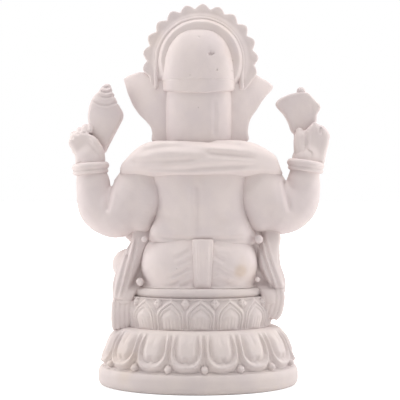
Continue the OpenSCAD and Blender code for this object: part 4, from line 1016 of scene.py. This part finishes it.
def make_feet():
    for word, side, z, node_mid in (("left", 1, 41.6, (3.1, -21.3, 42)), ("right", -1, 46, (-2.4, -21.3, 45.8))):
        P = place(word + "_foot", *node_mid)
        clay = Clay(P(-13, -26, z - 5), P(13, -14, z + 5.4))
        clay.add(tube([
            P(side * 9.4, -19.6, z + 0.4, 3), P(side * 6, -20.2, z + 0.2, 3.1), P(side * 1.5, -20.8, z, 2.9),
            P(side * -2, -21, z, 2.5),
        ], 16))
        for k in range(5):
            clay.add(tube([
                P(side * -1.2, -21.4 + 0.2 * k, z - 1.9 + 1.0 * k, 1.1), P(side * (-4 + 0.35 * (4 - k)), -21.6, z - 2.1 + 1.1 * k, (1.15 if k == 4 else 0.85)),
            ], 8), 0.3)
        sculpt(word + "_foot_toes", clay, [word + "_foot"], "cast_figure")

    P = place("anklets", 0.5, -19.6, 44.7)
    clay = Clay(P(-15, -25.5, 37.4), P(15, -13.5, 52))
    for centre in (P(10.8, -19.4, 42.7), P(-10.2, -19.6, 46.6)):
        axes = np.column_stack([(0, 1, 0), (0, 0, 1), (1, 0, 0)]).astype(float)
        clay.add(ring(centre, axes, 3.9, 0.7))
        for k in range(16):
            a = tau * k / 16
            clay.add(ball(centre + 4.3 * (cos(a) * axes[:, 0] + sin(a) * axes[:, 1]), 0.65), 0.2)
    clay.distance = np.maximum(clay.distance, (P(0, 0, 38.6)[2] - clay.grid()[2]).astype(np.float32))
    sculpt("anklet_beads", clay, ["anklets"], "cast_figure")

    P = place("dhoti_apron", 0, -21.4, 33.1)
    clay = Clay(P(-8.5, -27, 24), P(8.5, -15.5, 42))
    outline = [P(x, 0, z)[[0, 2]] for x, z in (
        (-4, 41), (4, 41), (5, 36), (6, 30), (6.9, 25.6), (3.6, 25), (0, 25.5), (-3.6, 25), (-6.9, 25.6), (-6, 30), (-5, 36),
    )]
    top, mid_x = P(0, 0, 41)[2], P(0, 0, 0)[0]
    hang = P(0, -22.9, 0)[1]
    clay.add(plate(
        outline, lambda x, z: hang + 4.6 * ease((z - top + 3.6) / 4.2) + 0 * x,
        lambda x, z: 1.1 + 0.42 * np.cos((x - mid_x) * 2.6 / (1 + 0.04 * (top - z))), 0.6,
    ))
    sculpt("dhoti_apron_pleats", clay, ["dhoti_apron"], "cast_drapery")

    P = place("waist_belt", 0, -12.4, 51.1)
    clay = Clay(P(-24.5, -25.5, 45), P(24.5, 1, 57))
    belt = [P(20.4 * sin(a), -3.6 - 17.4 * cos(a), 52.6 - 3.4 * cos(a), 1.9) for a in np.linspace(-1.68, 1.68, 13)]
    clay.add(tube(belt, 130, 0.25, 34))
    clay.add(egg(P(0, -22.2, 49.2), (3, 1.6, 2.4)), 0.6)
    for side in (-1, 1):
        clay.add(egg(P(side * 3.4, -21.8, 49.6), (2.2, 1.4, 1.5)), 0.5)
    sculpt("waist_sash", clay, ["waist_belt"], "cast_drapery")

    P = place("sacred_thread", -0.6, -15.9, 71.5)
    clay = Clay(P(-17.5, -25, 54), P(16, -6, 89.5))
    line = [P(13, -9.4, 87, 0.95), P(11.6, -12.4, 82, 0.95)]
    for s in range(8):
        a, b = radians(38 - 13 * s), radians(62 - 11 * s)
        line.append(P(18.4 * sin(a) * cos(b), -8.5 - 14.4 * cos(a) * cos(b), 60.7 + 15.6 * sin(b), 0.95))
    clay.add(tube(line, 120, 0.16, 40))
    sculpt("sacred_thread_cord", clay, ["sacred_thread"], "cast_figure")

    P = place("necklace", 0, -11.9, 82.4)
    clay = Clay(P(-18, -20, 72.5), P(18, -4, 90.5))
    for drop, size in ((0, 1.0), (3.2, 1.15)):
        arc = [
            P((15 - 0.4 * drop) * sin(a), -10 - 4.5 * cos(a) ** 0.5, 88 - (9.5 + drop) * cos(a) ** 0.9, 0.6)
            for a in np.linspace(-1.45, 1.45, 13)
        ]
        clay.add(tube(arc, 40))
        for bead in smooth_path(arc, int(22 + 2 * drop)):
            clay.add(ball(bead, size), 0.15)
    sculpt("necklace_beads", clay, ["necklace"], "cast_figure")

    P = place("pendant", 0, -16.4, 76.3)
    clay = Clay(P(-4.5, -19.6, 71.4), P(4.5, -12, 81))
    clay.add(egg(P(0, -15.8, 76.4), (2.9, 2, 3.2)))
    clay.add(ball(P(0, -17.4, 76.4), 1.3), 0.2)
    for k in range(8):
        a = tau * k / 8
        clay.add(ball(P(2.3 * cos(a), -16.7, 76.4 + 2.6 * sin(a)), 0.72), 0.2)
    sculpt("pendant_flower", clay, ["pendant"], "cast_figure")

    P = place("garment_beads", -0.4, 11.9, 48.8)
    clay = Clay(P(-27, 7, 37.4), P(27, 17, 61), 0.4)
    for x, y, z, r in ((20.8, 12, 57.2, 1.2), (-23.4, 10.2, 57.2, 1.7), (22.4, 11, 40.8, 1.6), (-22.8, 12.2, 41.8, 1.0)):
        clay.add(ball(P(x, y, z), r))
    sculpt("garment_bead_row", clay, ["garment_beads"], "cast_figure")


# ---- head, crown and halo ----


def make_head():
    P = place("head", -0.2, -1.6, 103.9)
    clay = Clay(P(-16, -30.5, 64), P(21, 13.5, 117))
    clay.add(column([
        P(-0.2, -0.8, 91.6, 11.6, 10), P(-0.2, -0.9, 95, 12.8, 11.8), P(-0.2, -1.2, 99, 13.3, 12.4),
        P(-0.2, -1.6, 104, 13.4, 13), P(-0.2, -1.6, 109, 13.4, 13.2), P(-0.2, -1.2, 113, 13.2, 12.8),
        P(-0.2, -0.9, 116, 12.8, 12.4),
    ], square=2.9, edge=0.8))
    for side in (-1, 1):
        clay.add(egg(P(side * 5.6, -10.6, 110), (6.2, 4.8, 5.6)), 2.5)
        clay.add(egg(P(side * 8.2, -9.6, 101.4), (5.2, 4.8, 6.2)), 2.5)
        clay.add(egg(P(side * 5.4, -12.4, 99.8), (3.2, 3.6, 2.6)), 1.5)
    clay.add(egg(P(0, -12, 95), (4.6, 4.2, 3)), 1.5)
    clay.add(tube([
        P(0, -9.5, 108.5, 6), P(0, -14.2, 104.6, 6), P(0, -17.2, 99.6, 5.8), P(0, -19.4, 94, 5.3),
        P(0.2, -21.2, 88, 4.8), P(1, -22.6, 82, 4.3), P(3, -23.8, 76.6, 3.9), P(6, -25, 72.2, 3.5), P(10, -26, 69.4, 3.1),
        P(14, -26.6, 68.9, 2.7), P(17, -26.8, 70.4, 2.4), P(18.2, -26.7, 72.8, 2.1),
    ], 150, 0.2, 27), 1.6)
    clay.cut(ball(P(18.5, -26.9, 75.4), 1.0), 0.5)
    for side in (-1, 1):
        eye = P(side * 8.6, -13.6, 105.6)
        clay.cut(egg(eye + (0, -1.6, 0), (3, 1.6, 1.7)), 1.2)
        clay.add(egg(eye + (0, 0.7, 0), (2.3, 1.9, 1.35)), 0.3)
        arch = [(-2.9, 0.9, -0.4), (-1.5, -0.3, 1.1), (0, -0.7, 1.5), (1.5, -0.3, 1.1), (2.9, 0.9, -0.3)]
        clay.add(tube([np.append(eye + (side * dx, dy + 0.5, dz), 0.55) for dx, dy, dz in arch], 14), 0.4)
        clay.add(tube([np.append(eye + (side * dx, dy + 0.7, -0.75 * dz), 0.42) for dx, dy, dz in arch], 14), 0.4)
        clay.add(tube([np.append(eye + (side * dx, dy + 0.6, dz + 2.2), 0.6) for dx, dy, dz in arch], 14), 1.2)
    back = [[P(-6.3, 0, 96)[[0, 2]], P(-6.5, 0, 104)[[0, 2]], P(-6.2, 0, 112)[[0, 2]]]]
    clay.press(1, 1, P(0, 4, 0)[1], creases(back, 0.8, 0.18, 0.4))
    clay.cut(ball(P(-6.4, 12.4, 97.2), 0.7), 0.5)
    mark = [[P(s * 1.9, 0, 113)[[0, 2]], P(s * 1.7, 0, 108.4)[[0, 2]], P(0, 0, 106.4)[[0, 2]]] for s in (-1, 1)]
    clay.press(1, -1, P(0, -10, 0)[1], creases(mark, 0.35, 0.3, 0.6))
    sculpt("elephant_head", clay, ["head", "trunk"], "cast_figure")

    P = place("left_tusk", 7.5, -16.9, 99.1)
    clay = Clay(P(3, -27.6, 91.5), P(16, -9, 103.4))
    clay.add(tube([P(6, -11, 100, 1.9), P(8, -15, 98, 1.9), P(10.5, -19.5, 95.5, 1.6), P(12.6, -23, 94.2, 1.1), P(13.8, -25.2, 94.4, 0.5)], 20))
    clay.add(ring(P(7.1, -13.6, 99.1), np.column_stack([(1, 0, 0), (0, 0, 1), (0.3, -0.95, -0.2)]), 1.7, 0.4), 0.2)
    sculpt("left_tusk_whole", clay, ["left_tusk"], "cast_figure")
    P = place("right_tusk", -7.3, -15.1, 99)
    clay = Clay(P(-13, -21, 93), P(-3.4, -9, 103.4))
    clay.add(tube([P(-6, -11, 100, 1.9), P(-8, -15, 98, 1.9), P(-9.4, -17.6, 96.6, 1.7)], 14))
    clay.add(ring(P(-7.0, -13.4, 99.1), np.column_stack([(1, 0, 0), (0, 0, 1), (-0.3, -0.95, -0.2)]), 1.7, 0.4), 0.2)
    sculpt("right_tusk_broken", clay, ["right_tusk"], "cast_figure")


def make_ear(side, word, points):
    P = place(word + "_ear", side * 19.8, -2.5, 108.8)
    clay = Clay(P(side * 20 - 12, -13.5, 94), P(side * 20 + 12, 7.5, 124.5))
    outline = [P(side * x, 0, z)[[0, 2]] for x, z in points]
    root, rear = P(side * 12, 0, 0)[0], P(0, 2.9, 0)[1]

    def middle(x, z):
        out = side * (x - root)
        return rear - 0.1 * out - 0.026 * out * np.abs(out) + 0 * z

    clay.add(plate(outline, middle, 1.75, 1.3, 5))
    inset = [P(side * x, 0, z)[[0, 2]] for x, z in points]

    def hollow(x, z):
        gap = -polygon_distance(smooth_path(inset, 60, closed=True), x, z)
        return 1.5 * ease((gap - 1.6) / 2.6)

    x, y, z = clay.grid()
    front = ease((middle(x, z) - y) / 1.4 + 0.3)
    clay.distance += (front * hollow(x, z)).astype(np.float32)
    veins = creases([
        [P(side * 13, 0, 108)[[0, 2]], P(side * 18, 0, 112)[[0, 2]], P(side * 23, 0, 117.5)[[0, 2]]],
        [P(side * 13, 0, 105)[[0, 2]], P(side * 18, 0, 107.5)[[0, 2]], P(side * 23, 0, 111)[[0, 2]]],
        [P(side * 13, 0, 102)[[0, 2]], P(side * 16, 0, 102.5)[[0, 2]], P(side * 19, 0, 105)[[0, 2]]],
    ], 0.7, 0.35, 0.6)
    clay.distance += (front * veins(x, z)).astype(np.float32)
    sculpt(word + "_ear_fan", clay, [word + "_ear"], "cast_figure")


def make_crown():
    P = place("crown_band", -0.2, -0.4, 116.4)
    clay = Clay(P(-16.5, -15, 111.5), P(16, 14.5, 120))
    clay.add(column([P(-0.2, -0.4, 112, 14.2, 12.7), P(-0.2, -0.4, 115, 14.3, 12.7), P(-0.2, -0.4, 119.2, 14.45, 12.8)],
                    square=2.9, edge=0.3))
    x, y, z = clay.grid()
    rear = ease((y - P(0, 0, 0)[1]) / 4)
    edge_z = P(0, 0, 113.7)[2] + rear * 1.2 * ((x - P(-0.2, 0, 0)[0]) / 12.5) ** 2
    clay.distance = soft_max(clay.distance, (edge_z - z).astype(np.float32), 0.7)
    bend = np.linspace(1.0, 2.0, 600) * pi
    across = 14.5 * np.sign(np.cos(bend)) * np.abs(np.cos(bend)) ** 0.69
    ahead = -12.9 * np.abs(np.sin(bend)) ** 0.69
    travelled = np.append(0, np.cumsum(np.hypot(np.diff(across), np.diff(ahead))))
    for spot in np.linspace(0.06, 0.94, 19) * travelled[-1]:
        bead = np.interp(spot, travelled, across) - 0.2, np.interp(spot, travelled, ahead) - 0.4
        clay.add(ball(P(*bead, 116.3), 1.15), 0.15)
    sculpt("crown_band_beads", clay, ["crown_band"], "cast_figure")

    P = place("crown_dome", -0.2, -0.4, 129.8)
    clay = Clay(P(-16.5, -15.5, 117), P(16, 14.5, 142.5))
    stations = []
    for a in np.linspace(0, pi / 2 - 0.06, 14):
        share = cos(a) ** 0.83
        stations.append(P(-0.2, -0.4, 118.8 + 22.1 * sin(a) ** 0.83, 14.7 * share, 12.9 * share))
    clay.add(column(stations, square=2.7, edge=0.25))
    pits = ((-5, 128.9, 0.75), (-4.4, 128.7, 0.5), (-5.9, 129, 0.36), (-0.2, 135.6, 0.3), (-7.2, 122.5, 0.36),
            (9.5, 136.8, 0.34), (3.1, 120.4, 0.25), (-13.2, 122.6, 0.4))
    for x, z, r in pits:
        column_y = clay.axes[1]
        i, k = (int(np.searchsorted(clay.axes[n], v)) for n, v in ((0, P(x, 0, z)[0]), (2, P(x, 0, z)[2])))
        inside = np.nonzero(clay.distance[i, :, k] < 0)[0]
        clay.cut(ball(np.array([P(x, 0, z)[0], column_y[inside[-1]] + 0.1 * r, P(x, 0, z)[2]]), r), 0.3)
    sculpt("crown_dome_cap", clay, ["crown_dome"], "cast_figure")

    P = place("crown_crest", -0.2, -8.9, 131.8)
    clay = Clay(P(-11, -17, 118.5), P(10.5, -1, 145))
    outline = [P(-0.2 + x, 0, z)[[0, 2]] for x, z in (
        (-8, 119.8), (8, 119.8), (8.8, 124), (6.6, 128), (5.6, 132), (3, 136.4), (0, 140.4), (-3, 136.4), (-5.6, 132),
        (-6.6, 128), (-8.8, 124),
    )]
    dome_x, dome_y, dome_foot = P(-0.2, -0.4, 118.8)

    def lean(x, z):
        rise = np.clip((z - dome_foot) / 22.1, 0.001, 0.97) ** 1.2
        return dome_y - 12.9 * (1 - rise ** 2) ** 0.41 - 0.3 + 0.012 * (x - dome_x) ** 2

    clay.add(plate(outline, lean, 1.9, 0.7))
    jewels = ((0, 124.6, 2.1), (0, 130.2, 1.7), (0, 134.8, 1.2), (-4.6, 124, 1.1), (4.6, 124, 1.1), (-3.4, 129, 0.9),
              (3.4, 129, 0.9))
    for x, z, r in jewels:
        spot = P(-0.2 + x, 0, z)
        spot[1] = lean(spot[0], spot[2]) - 1.9
        clay.add(egg(spot, (r, 0.8 * r, 1.2 * r)), 0.2)
        clay.add(ring(spot, np.column_stack([(1, 0, 0), (0, 0, 1), (0, -1, 0)]).astype(float), 1.25 * r, 0.3), 0.15)
    sculpt("crown_crest_jewels", clay, ["crown_crest"], "cast_figure")

    P = place("halo_plate", -0.5, 1.3, 134.3)
    clay = Clay(P(-25, -3, 113.5), P(24, 8.5, 150.5))
    rim = []
    for i in range(13):
        for share in (0, 0.1, 0.25, 0.4, 0.5, 0.6, 0.75, 0.9):
            a = radians((i + share - 0.5) * TOOTH_PITCH - 7.4)
            r = 21.25 + 1.6 * (1 - abs(2 * share - 1) ** 1.7)
            rim.append(P(r * cos(a) - 0.9, 0, 126.8 + r * sin(a))[[0, 2]])
    outline = np.array(rim + [P(x, 0, 114.6)[[0, 2]] for x in (-18, 17.4)])
    clay.add(plate(outline, P(0, 1.3, 0)[1], 2.1, 0.7, smooth=False))
    centre = P(-0.9, 0, 126.8)
    x, y, z = clay.grid()
    angle = np.degrees(np.arctan2(z - centre[2], x - centre[0]))
    radius = np.hypot(x - centre[0], z - centre[2])
    tooth = np.cos(np.radians((angle + 7.4) / TOOTH_PITCH * 360))
    rays = 0.25 * ease((radius - 19.4) / 2) * (1 - tooth) / 2
    groove = 0.18 * bump(radius - 19.2, 0.8) - 0.75 * bump(radius - 16.8, 1.9)
    upper = ease((z - centre[2] + 8) / 2)
    rear = ease((y - centre[1] - 1.3) / 2 + 0.3)
    swell = 3.0 * ease((17 - radius) / 2.4) * ease((y - centre[1] - 1.3) / 1.5)
    clay.distance += (rear * (groove * upper + rays) - swell).astype(np.float32)
    front = 1 - rear
    clay.distance += (front * (0.45 * bump(radius - 19.2, 0.5) * upper + rays)).astype(np.float32)
    sculpt("halo_disc", clay, ["halo_plate"], "cast_figure")

    P = place("halo_ring", -0.3, 3.9, 132.8)
    clay = Clay(P(-20, 1, 116), P(20, 7, 146))
    arch = [P(-17, 3.4, 116.6, 1), P(-17, 3.5, 121, 1)]
    arch += [P(-0.6 + 16.8 * cos(a), 3.5, 126.8 + 16.8 * sin(a), 1) for a in np.linspace(pi, 0, 14)]
    arch += [P(16.4, 3.5, 121, 1), P(16.4, 3.4, 116.6, 1)]
    clay.add(tube(arch, 90))
    sculpt("halo_arch", clay, ["halo_ring"], "cast_figure")


LEFT_EAR = ((11, 96), (17.8, 95.4), (18.2, 99), (19.3, 102), (23.7, 106.6), (26.2, 110.4), (27.9, 114.2), (29.6, 119.6),
            (29.3, 121.5), (23.4, 123.1), (19.8, 122), (17, 119.4), (11.5, 117.4))
RIGHT_EAR = ((11, 96), (19.4, 95.6), (19.6, 99.6), (20.4, 103.6), (22.4, 107), (26.6, 113.2), (29.8, 117), (29.4, 118.9),
             (25, 121.1), (22.2, 122.1), (19.4, 121), (16.6, 118.8), (11.5, 117.4))


# ---- camera and light ----

SKY_BEHIND = 1.15
SKY_CAMERA_SIDE = 0.15
SKY_TOP = 0.4
WARM = (1, 0.985, 0.955)


def area_light(name, at, target, size, power, colour=(1, 1, 1)):
    data = bpy.data.lights.new(name, "AREA")
    data.shape = "DISK"
    data.size = size
    data.energy = power
    data.color = colour
    lamp = bpy.data.objects.new(name, data)
    bpy.context.scene.collection.objects.link(lamp)
    lamp.location = at
    from mathutils import Vector
    lamp.rotation_euler = (Vector(target) - Vector(at)).to_track_quat("-Z", "Y").to_euler()
    return lamp


def make_stage():
    scene = bpy.context.scene
    low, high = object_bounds()
    middle = (low + high) / 2
    data = bpy.data.cameras.new("photo_view")
    data.lens = 99.1
    data.sensor_width = 36
    data.clip_start = 0.01
    camera = bpy.data.objects.new("photo_view", data)
    scene.collection.objects.link(camera)
    camera.location = (middle.x - 0.00035, middle.y + 0.436, middle.z - 0.0024)
    camera.rotation_euler = (pi / 2, 0, pi)
    scene.camera = camera

    floor_mesh = bpy.data.meshes.new("floor")
    reach = 30
    floor_mesh.from_pydata([(-reach, -reach, 0), (reach, -reach, 0), (reach, reach, 0), (-reach, reach, 0)], [], [[0, 1, 2, 3]])
    floor = bpy.data.objects.new("floor", floor_mesh)
    floor.location.z = low.z - 0.00005
    scene.collection.objects.link(floor)
    paper = bpy.data.materials.new("pale_paper")
    paper.use_nodes = True
    shader = paper.node_tree.nodes["Principled BSDF"]
    shader.inputs["Base Color"].default_value = (0.85, 0.845, 0.84, 1)
    shader.inputs["Roughness"].default_value = 0.9
    shader.inputs["Emission Color"].default_value = (1, 1, 1, 1)
    glow = paper.node_tree.nodes.new("ShaderNodeMath")
    glow.operation = "MULTIPLY"
    glow.inputs[1].default_value = 0.7
    seen = paper.node_tree.nodes.new("ShaderNodeLightPath").outputs["Is Camera Ray"]
    paper.node_tree.links.new(seen, glow.inputs[0])
    paper.node_tree.links.new(glow.outputs[0], shader.inputs["Emission Strength"])
    floor_mesh.materials.append(paper)

    scene.view_settings.view_transform = "Standard"
    world = bpy.data.worlds.new("studio")
    scene.world = world
    world.use_nodes = True
    nodes, links = world.node_tree.nodes, world.node_tree.links
    coordinate = nodes.new("ShaderNodeTexCoord").outputs["Generated"]
    split = nodes.new("ShaderNodeSeparateXYZ")
    links.new(coordinate, split.inputs[0])

    def slope(socket, low_out, high_out, low=-1.0, high=1.0):
        node = nodes.new("ShaderNodeMapRange")
        for key, number in zip(("From Min", "From Max", "To Min", "To Max"), (low, high, low_out, high_out)):
            node.inputs[key].default_value = number
        links.new(socket, node.inputs["Value"])
        return node.outputs["Result"]

    total = nodes.new("ShaderNodeMath")
    total.operation = "ADD"
    links.new(slope(split.outputs["Y"], SKY_BEHIND, SKY_CAMERA_SIDE), total.inputs[0])
    links.new(slope(split.outputs["Z"], 0.0, SKY_TOP, 0.1, 1.0), total.inputs[1])
    seen = nodes.new("ShaderNodeMix")
    links.new(nodes.new("ShaderNodeLightPath").outputs["Is Camera Ray"], seen.inputs["Factor"])
    links.new(total.outputs[0], seen.inputs["A"])
    seen.inputs["B"].default_value = 1.0
    background = nodes["Background"]
    links.new(seen.outputs["Result"], background.inputs["Strength"])
    background.inputs["Color"].default_value = (1, 1, 1, 1)
    area_light("overhead_soft_box", (0, 0.1, 0.9), (0, 0, 0.07), 0.7, 4.2, WARM)
    for side, word in ((1, "left"), (-1, "right")):
        area_light(word + "_soft_box", (side * 0.55, -0.06, 0.2), (0, 0, 0.08), 0.45, 1.5, WARM)
    return camera


make_base()
make_dhoti()
make_body()
make_shawl()
make_rear_arm(1, "left", -0.5, 4, 0)
make_rear_arm(-1, "right", 0.9, 2, 2.4)
make_rear_bangles(1, "left", 5, 84.7)
make_rear_bangles(-1, "right", -8, 85.6)
make_left_rear_hand()
make_right_rear_hand()
make_front_arms()
make_feet()
make_head()
make_ear(1, "left", LEFT_EAR)
make_ear(-1, "right", RIGHT_EAR)
make_crown()
make_stage()
